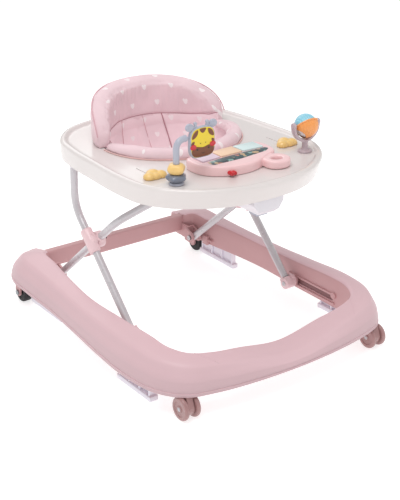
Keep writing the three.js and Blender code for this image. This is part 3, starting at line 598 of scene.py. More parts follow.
camera_data = bpy.data.cameras.new("camera")
camera_data.lens = LENS
camera_data.sensor_width = 36
camera_data.clip_end = 50
camera = add_object("camera", camera_data)
turn, rise = radians(CAMERA_TURN), radians(CAMERA_RISE)
right = Vector((cos(turn), sin(turn), 0))
back = Vector((sin(turn) * cos(rise), -cos(turn) * cos(rise), sin(rise)))
pose = Matrix((right, back.cross(right), back)).transposed().to_4x4()
pose.translation = Vector(CAMERA_PLACE)
camera.matrix_world = pose
bpy.context.scene.camera = camera
bpy.context.scene.view_settings.view_transform = "Standard"

world = bpy.data.worlds.new("studio")
world.use_nodes = True
background = world.node_tree.nodes["Background"].inputs
background["Color"].default_value = (1, 0.99, 0.985, 1)
background["Strength"].default_value = 0.56
bpy.context.scene.world = world


def lamp(name, place, aim, size, power):
    light = bpy.data.lights.new(name, "AREA")
    light.size = size
    light.energy = power
    holder = add_object(name, light)
    holder.location = place
    holder.rotation_euler = (Vector(aim) - Vector(place)).to_track_quat("-Z", "Y").to_euler()


lamp("key", (-0.9, -0.5, 2.7), (0, 0, 0.3), 1.6, 30)
lamp("fill", (1.9, -1.5, 1.5), (0, 0, 0.25), 2.2, 6)
lamp("rim", (0.5, 2.2, 2.0), (0, 0, 0.35), 1.8, 12)

floor_data = bpy.data.meshes.new("floor")
reach = 30
floor_data.from_pydata([(-reach, -reach, 0), (reach, -reach, 0), (reach, reach, 0), (-reach, reach, 0)],
                       [], [(0, 1, 2, 3)])
floor = add_object("floor", floor_data)
pale = Graph("floor_pale", (0.62, 0.62, 0.62), 0.9, specular=0.1)
pale.set("Emission Color", (1, 1, 1, 1))
pale.set("Emission Strength", 0.68)
pale.color(pale.mix(pale.spread(pale.noise(3, 2), 0, 1), (0.61, 0.61, 0.61), (0.63, 0.63, 0.63)))
floor_data.materials.append(pale.mat)

# ---------------------------------------------------------------- base
# Stations of the rail from the middle of its front to a rear end: x and y of the outer edge, x and y of the
# inner wall, then the lowest and the highest z. Its sections run from 0 to 1 across and up between these.
STATIONS = [
    [0, -40, 0, 30, 49, 81], [105, -35, 100, 30, 49, 97], [190, -22, 165, 31, 49, 107],
    [248, -2, 207, 45, 49, 113], [284, 48, 227, 80, 49, 117], [297, 130, 229.5, 130, 49, 119],
    [294, 232, 229.5, 240, 50, 114], [285, 350, 229.5, 350, 53, 111], [279, 450, 222, 440, 55, 115],
    [278, 560, 207, 545, 57, 120], [274, 622, 203, 590, 58, 122], [254, 663, 187.5, 612, 58, 116],
    [214, 675, 187, 662, 58, 104],
]
CREST = [(0.05, 0.36), (0.07, 0.45), (0.12, 0.56), (0.19, 0.68), (0.26, 0.8), (0.31, 0.865), (0.36, 0.9),
         (0.46, 0.935), (0.62, 0.972), (0.78, 0.995), (0.88, 1.0), (0.94, 0.985), (0.98, 0.94), (1, 0.86)]
END_PLUG = [(0.05, 0.1), (0.08, 0.4), (0.2, 0.65), (0.36, 0.85), (0.6, 0.94), (0.8, 0.965), (0.93, 0.93),
            (0.975, 0.8), (0.975, 0.1)]
UNDER = [(0.95, 0.78), (0.92, 0.89), (0.8, 0.94), (0.58, 0.91), (0.4, 0.81), (0.24, 0.67), (0.13, 0.48)]


def rail_rings(section):
    """A section of the rail at even steps along its U, from one rear end to the other."""
    steps = 200
    whole = [(-ox, oy, -ix, iy, low, high) for ox, oy, ix, iy, low, high in STATIONS[:0:-1]] + STATIONS
    edge = catmull([(ox, oy, low) for ox, oy, _, _, low, _ in whole], steps)
    wall = catmull([(ix, iy, high) for _, _, ix, iy, _, high in whole], steps)
    return [[(lerp(a.x, b.x, s), lerp(a.y, b.y, s), lerp(a.z, b.z, u)) for s, u in section]
            for a, b in zip(edge, wall)]


def rail_mesh():
    lip = [(0.008, -0.008), (0, 0.004), (0, 0.075), (0.006, 0.095), (0.02, 0.1), (0.026, 0.108),
           (0.026, 0.124), (0.016, 0.13), (0.014, 0.15), (0.022, 0.24)]
    foot = [(1, 0.6), (1, 0.3), (1, 0), (0.95, 0)]
    section = lip + curve(CREST, 39, False) + foot + curve(UNDER, 14, False) + [(0.06, 0.1), (0.05, 0)]
    return loft(rail_rings(section))


def rail_crease(rail):
    """A fine raised line over the front corner, laid on the crest of the rail."""
    radius, sunk = 0.9, 0.35
    line = []
    for x, y in curve([(231, 118), (225, 88), (209, 52), (190, 20), (171, -8), (146, -29)], 60, False):
        above = Vector((x * 0.001, (y - ORIGIN_Y) * 0.001, 0.3))
        hit, spot, up, _ = rail.ray_cast(above, Vector((0, 0, -1)))
        if hit and up.z > 0.7:
            line.append((x, y, spot.z * 1000 - sunk))
    return sweep(line, circle(radius, 10), (0, 0, 1))


def build_base():
    rail = make("rail_shell", rail_mesh(), "shell", None, ride=False)
    slider_slot = block((220, 118, 62.3), (238, 248, 73.7), 5.0)
    crossbar_end = block((170, 612.7, 71.7), (205.3, 633.3, 111.3), 0.6)
    carve(rail, [mirror(cutter, side) for _, side in HANDS for cutter in (slider_slot, crossbar_end)])
    before, last = rail_rings(END_PLUG)[-2:]
    plug = loft([[Vector(a).lerp(Vector(b), t) for a, b in zip(before, last)] for t in (0.4, 0.85)])
    ridges = join(block((226.2, 112, 76.5), (230.6, 262, 80.5), 1.6),
                  block((226.2, 112, 55.0), (230.6, 262, 59.5), 1.6),
                  disc("x", (0, 116, 76.5), 7.5, 226.0, 230.6, 1.4, 32))
    tab = join(block((200, 532, 56), (209, 552, 78), 2.0), block((203, 520, 66), (212, 562, 71), 1.5))
    for name, mesh, material in (
            ("rail_crease", rail_crease(rail), "shell"), ("rail_end", plug, "shell"),
            # The slot ridges and the rail tab take the darker inner pink as painted shade.
            ("slot_ridges", ridges, "inner"), ("rail_tab", tab, "inner"),
            # slot_back is a dark block of painted shade behind the slot.
            ("slot_back", block((231.5, 116, 61), (236, 250, 75), 1.0), "recess")):
        make_pair(name, mesh, material, "base")
    # Painted shade: faces of the rail that turn inward and not up take the darker inner pink.
    rail.data.materials.append(MATERIALS["inner"])
    for face in rail.data.polygons:
        inward = Vector((-face.center.x, -face.center.y, 0)).normalized()
        if face.normal.z < 0.45 and face.normal.dot(inward) > 0.35:
            face.material_index = 1
    declare(rail, "base", "base_top_shell")


build_base()


def dress(name, material, width):
    """Keeps a CAD node, with a moulded material and its edges rounded by a width in millimetres."""
    obj = NODES[name]
    for holder in obj.material_slots:
        holder.link = "OBJECT"
        holder.material = MATERIALS[material]
    if width:
        modify(obj, "BEVEL", width=width * 0.001, segments=2, limit_method="ANGLE",
               angle_limit=radians(34))


# Parts dressed in the darker inner pink take it as painted shade.
for name, material, width in (("base_bottom_pan", "inner", 0.5), ("rear_crossbar", "inner", 0),
                              ("adjuster_housing", "white", 2.0), ("height_latch", "lavender", 1.2)):
    dress(name, material, width)
for name, material, width in (
        ("rear_pivot_bracket", "inner", 1.0), ("rear_pivot_pin", "steel", 0.5), ("rear_axle", "steel", 0.5),
        ("cross_pin", "steel", 0.4), ("castor_axle", "steel", 0.4), ("castor_fork", "castor", 1.6),
        ("foot_slider", "inner", 0.8), ("tray_hinge_bracket", "white", 1.5)):
    for hand, _ in HANDS:
        dress(f"{name}_{hand}", material, width)


def build_pads():
    for end, x, y, length, half, top in (("front", 265, 76, 118, 10, 53.6), ("rear", 236, 466, 134, 8, 59.6)):
        pieces = [block((x - half, y, 10), (x + half, y + length, 21), 2.2),
                  block((x - 1.5, y + 6, 17), (x + 1.5, y + length - 6, top), 0.8)]
        for share in (0.06, 0.35, 0.65, 0.94):
            middle = y + share * length
            pieces.append(block((x - half + 2, middle - 2, 17), (x + half - 2, middle + 2, top), 1.2))
        make_pair(f"stopper_{end}", join(*pieces), "pad", "base", f"brake_pad_{end}")


build_pads()


# ---------------------------------------------------------------- wheels
def wheel_mesh(centre, width, way):
    """A wheel about X, with its dished face towards way: 1 for the right, -1 for the left."""
    half, soft, bore = width / 2, 4, 3.3
    quarter = [radians(a) for a in range(0, 91, 15)]
    dish = [(bore, half - 0.3), (5.4, half), (6.4, half - 0.5), (7, half - 1.6),
            (WHEEL_RADIUS - 10, half - 1.6), (WHEEL_RADIUS - 9, half - 1.4),
            (WHEEL_RADIUS - 8.4, half - 0.3), (WHEEL_RADIUS - 7, half)]
    tread = WHEEL_RADIUS - soft
    front = [(tread + soft * sin(a), half - soft + soft * cos(a)) for a in quarter]
    back = [(tread + soft * cos(a), -half + soft - soft * sin(a)) for a in quarter]
    profile = dish + front + back + [(8, -half), (bore, -half), (bore, half - 0.3)]
    return lathe("x", centre, [(r, way * h) for r, h in profile], 64)


CASTOR_CAP = [(4.2, -1.0), (4.2, 0.2), (3.4, 0.8), (1.2, 1.0)]
for hand, side in HANDS:
    for which, step in (("outer", 1), ("inner", -1)):
        node, way = f"castor_wheel_{hand}_{which}", side * step
        middle = (side * CASTOR_X + way * 13, CASTOR_Y, WHEEL_RADIUS)
        end = (side * CASTOR_X + way * 18.2, CASTOR_Y, WHEEL_RADIUS)
        wheel = wheel_mesh(middle, 9.6, way)
        cap = lathe("x", end, [(r, way * h) for r, h in CASTOR_CAP], 24)
        make(f"castor_disc_{hand}_{which}", wheel, "castor", node, [node])
        make(f"castor_cap_{hand}_{which}", cap, "tube", f"castor_{hand}")
    node = f"rear_wheel_{hand}"
    tyre = wheel_mesh((side * REAR_WHEEL_X, REAR_WHEEL_Y, WHEEL_RADIUS), 20, side)
    make(f"rear_tyre_{hand}", tyre, "black", node, [node])


# ---------------------------------------------------------------- folding legs
def unit(a, b):
    size = hypot(b[0] - a[0], b[1] - a[1])
    return (b[0] - a[0]) / size, (b[1] - a[1]) / size


def along(place, way, distance):
    return place[0] + way[0] * distance, place[1] + way[1] * distance


FRONT_WAY, REAR_WAY = unit(FOOT, CROSSING), unit(REAR_PIVOT, CROSSING)


def grip(x, centre, way, radius, back, ahead, flat=None):
    """A round-ended sleeve along a leg tube. With flat set, it is cut off level at that x."""
    ends = [(back, 0.82), (back - 1.5, 0.94), (back - 4, 1),
            (-ahead + 4, 1), (-ahead + 1.5, 0.94), (-ahead, 0.82)]
    rings = []
    for distance, size in ends:
        y, z = along(centre, way, -distance)
        ring = []
        for out, off in circle(radius * size, 36):
            rx = x + out
            if flat is not None:
                rx = max(rx, flat) if flat < x else min(rx, flat)
            ring.append((rx, y - way[1] * off, z + way[0] * off))
        rings.append(ring)
    return loft(rings)


def build_legs():
    front = rounded_path([(FRONT_TUBE_X, *along(FOOT, FRONT_WAY, 14)), (FRONT_TUBE_X, 450, 280),
                          (FRONT_TUBE_X, 447, 380)], [34], 16)
    rear = rounded_path([(REAR_TUBE_X, *along(REAR_PIVOT, REAR_WAY, -9)), (REAR_TUBE_X, 315, 283.1),
                         (102, *ADJUSTER_BAR), (70, *ADJUSTER_BAR)], [30, 24], 16)
    outer = join(disc("x", (0, *CROSSING), 16.5, 196.9, 210, 2.5, 64),
                 grip(FRONT_TUBE_X, CROSSING, FRONT_WAY, 13.4, 27, 27, flat=198))
    inner = join(disc("x", (0, *CROSSING), 17, 178, 196.1, 2.5, 64),
                 grip(REAR_TUBE_X, CROSSING, REAR_WAY, 11.0, 19, 19))
    cross_screw = lathe("x", (0, CROSSING[0] + 11, CROSSING[1] - 3),
                        [(3.2, 209), (3.2, 211.2), (2.6, 211.8), (1.2, 211.8), (1.0, 211.0)], 24)
    # Dark discs of painted shade stand in for three holes in the inner joint.
    holes = [lathe("x", (0, CROSSING[0] + dy, CROSSING[1] + dz), [(1.9, 175.7), (1.9, 177)], 16)
             for dy, dz in ((-13, 5), (2, 14), (12, -8))]
    boss = (0, *along(FOOT, FRONT_WAY, 3))
    knuckle = join(disc("x", (0, *FOOT), 13, 193.5, 216.5, 2.2, 48),
                   grip(FRONT_TUBE_X, FOOT, FRONT_WAY, 12.2, 7, 12),
                   disc("x", boss, 14.5, 213.6, 221, 2.4, 48))
    ribs = [disc("x", boss, 15.2, 212.4, 214.6, 0.7, 40)]
    y, z = along(FOOT, FRONT_WAY, 9)
    for k in (-5, 0, 5):
        start = (y - FRONT_WAY[1] * k, z + FRONT_WAY[0] * k)
        ribs.append(grip(193.8, start, FRONT_WAY, 1.3, 4, 6))
    foot_screw = lathe("x", (0, *FOOT),
                       [(5.4, 193.9), (5.4, 192.4), (4.6, 191.6), (1.6, 191.6), (1.4, 192.4)], 24)
    pivot_screw = lathe("x", (0, *REAR_PIVOT),
                        [(6, 173.6), (6, 171.0), (5, 170.2), (1.8, 170.2), (1.5, 171)], 24)
    tube = circle(TUBE_RADIUS)
    for name, mesh, material, body, node, slot in (
            ("front_leg", sweep(front, tube), "tube", "front_leg", "front_leg_tube", "tube_paint"),
            ("rear_leg", sweep(rear, tube), "tube", "rear_leg", "rear_leg_tube", "tube_paint"),
            ("cross_outer", outer, "gloss", "front_leg", "cross_joint_outer", "pink_gloss"),
            ("cross_inner", inner, "gloss", "rear_leg", "cross_joint_inner", "pink_gloss"),
            ("foot_end", knuckle, "gloss", "front_leg", "foot_socket", "pink_gloss"),
            ("foot_ribs", join(*ribs), "gloss", "front_leg", None, "pink_gloss"),
            ("cross_screw", cross_screw, "tube", "front_leg", None, "steel"),
            ("cross_holes", join(*holes), "hole", "rear_leg", None, "steel"),
            ("foot_screw", foot_screw, "tube", "front_leg", None, "steel"),
            ("pivot_screw", pivot_screw, "tube", "base", None, "steel")):
        make_pair(name, mesh, material, body, node)
    bar = sweep([(-70.5, *ADJUSTER_BAR), (70.5, *ADJUSTER_BAR)], tube, (0, 0, 1))
    make("cross_bar", bar, "tube", "rear_leg", ["rear_leg_cross_tube"])


build_legs()

# ---------------------------------------------------------------- tray
TRAY_PLAN = [(0, 48), (68, 54), (130, 79), (186, 124), (218, 180), (226, 252),
             (223, 350), (217, 440), (200, 510), (150, 566), (78, 592), (0, 598)]


def even(points, count):
    """Points at equal steps along a closed line."""
    line = points + [points[0]]
    lengths = [0]
    for a, b in zip(line, line[1:]):
        lengths.append(lengths[-1] + (b - a).length)
    out, k = [], 0
    for i in range(count):
        want = lengths[-1] * i / count
        while lengths[k + 1] < want:
            k += 1
        out.append(line[k].lerp(line[k + 1], (want - lengths[k]) / (lengths[k + 1] - lengths[k])))
    return out


def build_tray():
    plan = [(x, y, 0) for x, y in TRAY_PLAN] + [(-x, y, 0) for x, y in TRAY_PLAN[-2:0:-1]]
    outline = [(p.x, p.y) for p in even(catmull(plan, 600, True), 220)]
    facing = normals(outline)

    def outer(step, z, front=0.0):
        """The outline at a height, moved in by a step and by more where it faces the front."""
        ring = []
        for (x, y), (nx, ny) in zip(outline, facing):
            d = step + front * max(0.0, ny) ** 2
            ring.append((x + nx * d, y + ny * d, z))
        return ring

    def opening(grow, z):
        half_x, half_y = OPENING_X + grow, OPENING_Y + grow
        turns = [atan2((y - SEAT_Y) / OPENING_Y, x / OPENING_X) for x, y in outline]
        return [(half_x * cos(a), SEAT_Y + half_y * sin(a), z) for a in turns]

    rim = [(3.2, 369, 9), (2.2, 369.4, 9), (1.9, 370.6, 8.8), (1.2, 380, 5.6), (0.5, 392, 2.4), (0, 401),
           (0.1, 402.6), (0.7, 404.6), (1.8, 406.4), (3.4, 407.8), (5.4, 408.6), (7.6, 408.9), (9.8, 408.6),
           (11.8, 407.7), (13.6, 406.2), (15.2, 404.6), (17, 403.5), (19.5, 403.05), (24, TRAY_TOP)]
    mouth = [(9, TRAY_TOP), (4.5, 403.1), (2.2, 402.6), (0.8, 401.4), (0, 399.5), (0, 386), (4, 386),
             (4, 399)]
    under = [(5, 399), (4.4, 392, 2.4), (4.6, 369.2, 9)]
    rings = [outer(*row) for row in rim] + [opening(*row) for row in mouth] + [outer(*row) for row in under]
    tray = make("tray_shell", loft(rings, closed=True), "ivory", None, ride=False)
    slot = block((SLIDE_X - 1.6, 204, 394), (SLIDE_X + 1.6, 276, 408), 1.4)
    carve(tray, [mirror(slot, side) for _, side in HANDS])
    declare(tray, "tray", "tray")


build_tray()


# ---------------------------------------------------------------- seat
def around(angle, half_x, half_y, z):
    """A point on an oval round the seat, for an angle from straight behind towards the right."""
    return half_x * sin(angle), SEAT_Y + half_y * cos(angle), z


def soften(obj, voxel, pressure, cap):
    """Puffs a closed soft piece with cloth simulation. No point moves further than cap millimetres."""
    voxel_skin(obj, voxel)
    start = [v.co.copy() for v in obj.data.vertices]
    cloth = obj.modifiers.new("cloth", "CLOTH").settings
    cloth.quality = 5
    cloth.mass = 0.3
    cloth.use_pressure = True
    cloth.uniform_pressure_force = pressure
    cloth.tension_stiffness = 12
    cloth.bending_stiffness = 0.6
    cloth.effector_weights.gravity = 0
    scene, last = bpy.context.scene, 20
    scene.frame_end = last
    for step in range(1, last + 1):
        scene.frame_set(step)
    settle(obj)
    scene.frame_set(1)
    limit = cap * 0.001
    for vertex, before in zip(obj.data.vertices, start):
        move = vertex.co - before
        if move.length > limit:
            vertex.co = before + move.normalized() * limit
    modify(obj, "SUBSURF", levels=1, render_levels=1)
    settle(obj)
    shade_smooth(obj.data)


def sculpt(obj, mover):
    """Moves each point along its normal by the millimetres that mover gives for its place."""
    ways = [v.normal.copy() for v in obj.data.vertices]
    for vertex, way in zip(obj.data.vertices, ways):
        x, y, z = vertex.co * 1000
        vertex.co += way * mover(Vector((x, y + ORIGIN_Y, z))) * 0.001
    obj.data.update()


def waver(x, y, z):
    """Smooth noise between -1 and 1."""
    return noise.noise(Vector((x, y, z)))


def hump(value, centre, width):
    return exp(-((value - centre) / width) ** 2)


BACK_REACH, BACK_HEIGHT, BACK_ROUNDNESS = radians(82), 102.4, 2.4
RING_HEIGHT = 19.5
SEAMS = [radians(a) for a in (0, -34, -52, 34, 52)]
CREASE = ((-84, 408), (-60, 411), (-39, 417), (-25, 421.5), (5, 422), (50, 418.5), (72, 423), (86, 432))


def back_height(share):
    """Height of the back, for a share of its reach: 0 straight behind, -1 and 1 at its ends."""
    full = max(0.0, 1 - abs(share) ** BACK_ROUNDNESS) ** (1 / BACK_ROUNDNESS)
    return BACK_HEIGHT * max(0.07, full)


def crease_height(angle):
    """Height of the tuck where the back meets the sling, for an angle in degrees."""
    for (a, low), (b, high) in zip(CREASE, CREASE[1:]):
        if angle <= b:
            t = max(0.0, (angle - a) / (b - a))
            return lerp(low, high, t * t * (3 - 2 * t))
    return CREASE[-1][1]


def build_seat_back():
    section = [(0.12, 0.0), (0.5, -0.002), (0.9, 0.0), (0.98, 0.06), (1.02, 0.3), (1.03, 0.6),
               (1.03, 0.84), (0.97, 0.94), (0.8, 0.99), (0.55, 1.0), (0.28, 0.985), (0.1, 0.945),
               (0.03, 0.89), (0.02, 0.82), (0.035, 0.72), (0.05, 0.55), (0.06, 0.3), (0.08, 0.08)]
    rings = []
    steps = 120
    for i in range(steps + 1):
        share = -1 + 2 * i / steps
        edge = max(0.0, abs(share) - 0.93) / 0.07
        roll = hump(abs(share), 0.92, 0.07)
        pinch = 1 - 0.35 * edge ** 2
        height = back_height(share) - 1.5
        ring = []
        for across, up in curve(section, 72):
            across = lerp(across, 0.5 + (across - 0.5) * 1.04, roll)
            s = 0.5 + (across - 0.5) * pinch
            z = SEAT_BASE + up * height
            ring.append(around(BACK_REACH * share, lerp(131, 164, s), lerp(119, 152, s), z))
        rings.append(ring)
    obj = make("seat_backrest", loft(rings), "cloth", None, ride=False)
    soften(obj, 4.0, 3.0, 3.0)

    def creases(p):
        dx, dy = p.x / OPENING_X, (p.y - SEAT_Y) / OPENING_Y
        angle = atan2(dx, dy)
        share = angle / BACK_REACH
        reach = hypot(dx, dy)
        up = (p.z - SEAT_BASE) / max(20.0, back_height(share))
        inner = 1.0 if reach < 1.0 else 0.0
        seam_low = 0.88 - 0.015 * cos(3 * angle)
        seam = -inner * hump(up, seam_low, 0.03)
        wing = -1.5 * hump(abs(share), 0.86, 0.03) * (0.35 + 0.65 * inner) * (1 if up < 0.8 else 0.2)
        gather = sin(angle * 62 + 2.5 * waver(angle * 6, up * 2, 0))
        left = 0.35 + 1.5 * hump(angle, -0.75, 0.5)
        gather *= 0.9 * left * inner * (hump(up, seam_low - 0.14, 0.14) + 0.5 * hump(up, 0.24, 0.07))
        wander = 1.1 * waver(angle * 5, p.z * 0.03, 3)
        cloth_fold = 1.3 * inner * abs(waver(angle * 11, p.z * 0.012, 7)) * (up < seam_low)
        tuck = -1.4 * inner * hump(p.z, crease_height(degrees(angle)), 3.0)
        return seam + wing + gather + wander - cloth_fold + tuck

    sculpt(obj, creases)
    declare(obj, "tray", "seat_back")
    rim, tuck, band = [], [], []
    for k in range(141):
        share = lerp(-0.985, 0.985, k / 140)
        rim.append(around(BACK_REACH * share, 164.6, 152.6, SEAT_BASE + 0.93 * back_height(share)))
        turn = lerp(-78, 86, k / 140)
        top = crease_height(turn)
        angle = radians(turn)
        tuck.append(around(angle, 131.6, 119.6, top))
        profile = ((135, 388), (136.5, 396), (134, top), (132.6, top + 0.6), (131.6, top - 1.4),
                   (131, top - 6), (131.6, 400))
        band.append([around(angle, r, r - 12, z) for r, z in profile])
    make("seat_back_piping", sweep(rim, circle(1.3, 12), (0, 0, 1)), "piping", "tray")
    make("seat_back_tuck", sweep(tuck, circle(0.8, 10), (0, 0, 1)), "thread", "tray")
    # The collar is in the lighter copy of the seat fabric, as painted light.
    lining = make("seat_sling_collar", loft(band), "cloth_painted_light", "tray", smooth=70)


def build_seat_ring():
    section = [(0.02, 0.0), (0.5, 0.0), (0.97, 0.0), (1.0, 0.3), (0.93, 0.68), (0.78, 0.92), (0.55, 1.0),
               (0.3, 0.94), (0.1, 0.72), (0.0, 0.35)]
    rings = []
    for i in range(121):
        t = i / 120
        angle = radians(84 + 192 * t)
        ends = min(1, 0.55 + 3 * min(t, 1 - t))
        tip = 1 - 0.3 * max(0, 1 - 14 * min(t, 1 - t)) ** 2
        shares = [(0.5 + (s - 0.5) * tip, u) for s, u in curve(section, 40)]
        rings.append([around(angle, lerp(122, 156, s), lerp(111, 145, s), 403.7 + u * RING_HEIGHT * ends)
                      for s, u in shares])
    obj = make("seat_padded_ring", loft(rings), "cloth", None, ride=False)
    soften(obj, 3.5, 2.0, 2.0)

    def creases(p):
        dx, dy = p.x / 139, (p.y - SEAT_Y) / 128
        angle = atan2(dx, -dy)
        reach = hypot(dx, dy)
        inner = hump(reach, 0.9, 0.1)
        tuck = -3.0 * hump(angle, 1.05, 0.05) * inner - 2.4 * hump(angle, 1.22, 0.035) * inner
        wave = sin(angle * 40 + 3 * waver(angle * 4, 0, 0))
        pull = 0.7 * wave * inner * hump(angle, 1.0, 0.5)
        seam = -1.2 * hump(reach, 0.925, 0.012)
        return tuck + pull + seam + 0.8 * waver(angle * 5, reach * 6, 2)

    sculpt(obj, creases)
    declare(obj, "tray", "seat_ring")
    edging = [around(radians(86 + 188 * k / 160), 156.4, 145.4, 404.6) for k in range(161)]
    make("seat_edging", sweep(edging, circle(1.5, 12), (0, 0, 1)), "cloth_plain", "tray")


def build_seat_bucket():
    rows = [(147.2, 135.2, BUCKET_TOP), (144, 132, 386), (138, 126, 360), (131, 119, 341),
            (122, 110, 324), (111, 99, 310.5), (98, 86, 301), (84, 72, 294.5), (68, 56, 290.6),
            (40, 34, 290.2), (12, 10, 290.2), (0.6, 0.5, 290.2)]
    sides = 144

    def ring(a, b, z, lift=0.0):
        out = []
        for i in range(sides):
            angle = TAU * i / sides
            wrinkle = waver(sin(angle) * 3, cos(angle) * 3, z * 0.03)
            seam = -1.6 * sum(hump((angle - c + pi) % TAU - pi, 0, 0.012) for c in SEAMS)
            step = min(1.0, a / 60)
            inward = lift * (1 + 0.35 * abs(wrinkle)) - wrinkle * 0.5 * step + seam * step * bool(lift)
            inward = min(inward, 0.3 * a)
            out.append(around(angle, a - inward, b - inward, z + (lift * 0.8 if a < 100 else 0)))
        return out

    outer = [ring(a, b, z) for a, b, z in rows]
    lining = [(137.2, 125.2, BUCKET_TOP), (136.6, 124.6, 386), (134.6, 122.6, 364)] + rows[3:]
    inner = [ring(a, b, z, 3.6) for a, b, z in reversed(lining)]
    inner[-1] = [(x, y, BUCKET_TOP) for x, y, _ in inner[-1]]
    # The sling is in the lighter copy of the seat fabric, as painted light inside the bucket.
    obj = make("seat_sling", loft(outer + inner, closed=True), "cloth_painted_light", None, ride=False)
    carve(obj, [lathe("z", (side * 62, 335, 0), [(44, 250), (44, 330)], 64) for _, side in HANDS])
    shade_smooth(obj.data)
    obj.data.set_sharp_from_angle(angle=radians(60))
    declare(obj, "tray", "seat_bucket")
    for number, (top, low, bottom, radius, material) in enumerate((
            (24, 35, 334, 1.3, "thread"), (4, 13, 342, 0.7, "piping"), (-22, -19, 345, 0.7, "piping"))):
        line = []
        for k in range(25):
            z = lerp(crease_height(top), bottom, k / 24)
            wall = 131.0 - max(0.0, 366 - z) * 0.22
            line.append(around(radians(lerp(top, low, k / 24)), wall, wall - 12, z))
        make(f"seat_sling_seam_{number}", sweep(line, circle(radius, 10)), material, "tray")


build_seat_back()
build_seat_ring()
build_seat_bucket()


# ---------------------------------------------------------------- toys
def lobed(centre, radius, lobes, depth, low, high, bore):
    """A bead about Z with a wavy rim and a hole through it."""
    sides = lobes * 20
    rings = []
    for k in range(17):
        t = k / 16
        size = 0.62 + 0.38 * sin(pi * t) ** 0.6
        ring = []
        for i in range(sides):
            a = TAU * i / sides
            r = size * radius * (1 + depth * cos(lobes * a) * sin(pi * t))
            ring.append((centre[0] + r * cos(a), centre[1] + r * sin(a), lerp(low, high, t)))
        rings.append(ring)
    hole = [[(x, y, z) for x, y in oval(*centre, bore, bore, sides)] for z in (high, low)]
    return loft(rings + hole, closed=True)


def build_giraffe():
    x, y, bore = STALK_X, STALK_Y, 6.6
    base = [(11, 0.3), (14.2, 0.5), (15, 1.2), (15, 3), (14, 4.6), (12, 5.6), (10, 6), (7, 6), (7, 0.3)]
    make("toy_ring_base", lathe("z", (x, y, TRAY_TOP), base, 64), "lavender", "tray",
         ["giraffe_base_ring"])
    for color, tint, radius, lobes, depth, low, high in (("grey", "slate", 19, 5, 0.1, 409.9, 423.9),
                                                         ("yellow", "yellow", 17, 4, 0.13, 424.5, 443.6)):
        make(f"toy_bead_{color}", lobed((x, y), radius, lobes, depth, low, high, bore), tint, f"bead_{color}",
             [f"giraffe_bead_{color}"])
    path = rounded_path([(x, y, TOY_Z + 0.6), (x, y, STALK_TOP), (x + 22, y, STALK_TOP)], [20], 20)
    end = (0, y, STALK_TOP)
    stalk = join(sweep(path, circle(6.2, 28)), disc("x", end, 6.6, x + 18, x + 22.4, 0.8, 32),
                 disc("x", end, 2.6, x + 21, x + 48, 0.3, 20))
    make("toy_stalk", stalk, "lavender", "tray", ["giraffe_stalk"])
    build_giraffe_head(x + 57, y, STALK_TOP - 9)


HEAD_STRETCH = 1.1                 # the outlines of the face are drawn this much too narrow


def build_giraffe_head(x, y, z):
    face = curve([(-19, -31.5), (0, -34), (19, -31.5), (25.6, -22), (26.6, -4), (25.8, 13), (19, 23.6),
                  (0, 27.4), (-19, 23.6), (-25.8, 13), (-26.6, -4), (-25.6, -22)], 96)

    def upright(a, b, c):
        """Stands a shape drawn flat up as part of the face."""
        return x + HEAD_STRETCH * a, y + c, z + b

    def layer(outline, low, high, soft=0.3):
        """A thin raised shape on the front of the face: low and high are heights above it."""
        return plate(outline, low, high, soft, lambda a, b, c: upright(a, b, -6.5 - c))

    def add(name, shapes, material):
        make(f"toy_head{name}", join(*shapes), material, "giraffe_head")

    parts = [plate(face, -6.4, 2.7, 2.2, upright)]
    for _, side in HANDS:
        parts.append(plate(oval(side * 24.8, 28, 7.9, 7.8, 40), -4, 2, 1.4, upright))
        parts.append(plate(oval(side * 12.5, 33.5, 3.2, 3.4, 24), -3.6, 1.6, 1.2, upright))
        for out, low, high, half in ((12.5, 18, 31, 1.8), (17, 17.5, 26.5, 5)):
            left, right = side * out - half, side * out + half
            neck = curve([(left, low), (right, low), (right, high), (left, high)], 24)
            parts.append(plate(neck, -3.2, 1.2, 0.6, upright))
    make("toy_head", join(*parts), "lavender", "giraffe_head", ["giraffe_head"])
    add("_face", [layer(inset(face, 2.2), -0.2, 0.35)], "face")
    muzzle = [(-23.4, -17), (-22.6, -24), (-17.6, -29.2), (0, -31.6), (17.6, -29.2), (22.6, -24),
              (23.4, -17), (19, -12), (12, -10.4), (6, -12), (0, -13), (-6, -12), (-12, -10.4), (-19, -12)]
    patches = ((muzzle, 96),
               ([(-22, 12), (-16.5, 19.8), (-11, 21.6), (-11.5, 15), (-15, 9.5), (-22.4, 6)], 32),
               ([(11, 21.6), (16.5, 19.8), (22, 12), (22.4, 6), (15, 9.5), (11.5, 15)], 32),
               ([(-7, 22.8), (0, 24), (6, 23), (2.6, 17), (0, 15.4), (-3.6, 17)], 32),
               ([(-23.6, -1), (-18.5, 1), (-19.5, -5), (-23.8, -7)], 24),
               ([(23.6, -1), (18.5, 1), (19.5, -5), (23.8, -7)], 24))
    add("_patches", [layer(curve(*patch), 0.2, 0.8) for patch in patches], "brown")
    cheeks = [layer(oval(side * 20.6, -10, 6.4, 5.2), 0.4, 1.2, 0.35) for _, side in HANDS]
    add("_cheeks", cheeks, "red")
    marks = [layer(oval(side * a, b, rx, ry), 0.5, 1.1, 0.2)
             for a, b, rx, ry in ((5.5, -4.5, 0.9, 0.9), (12, -16, 1.8, 1.7)) for _, side in HANDS]
    turns = [radians(-62 + 124 * k / 14) for k in range(15)]
    smile = [(x + 3.6 * sin(a), y - 7.4, z - 22 - 2.6 * cos(a)) for a in turns]
    add("_marks", marks + [sweep(smile, circle(0.4, 8), (0, 1, 0))], "dark")
    pads = [plate(oval(side * 24.8, 27.6, 5.0, 4.8), -0.2, 0.6, 0.3, lambda a, b, c: upright(a, b, -4 - c))
            for _, side in HANDS]
    add("_ear_pads", pads, "lavender")


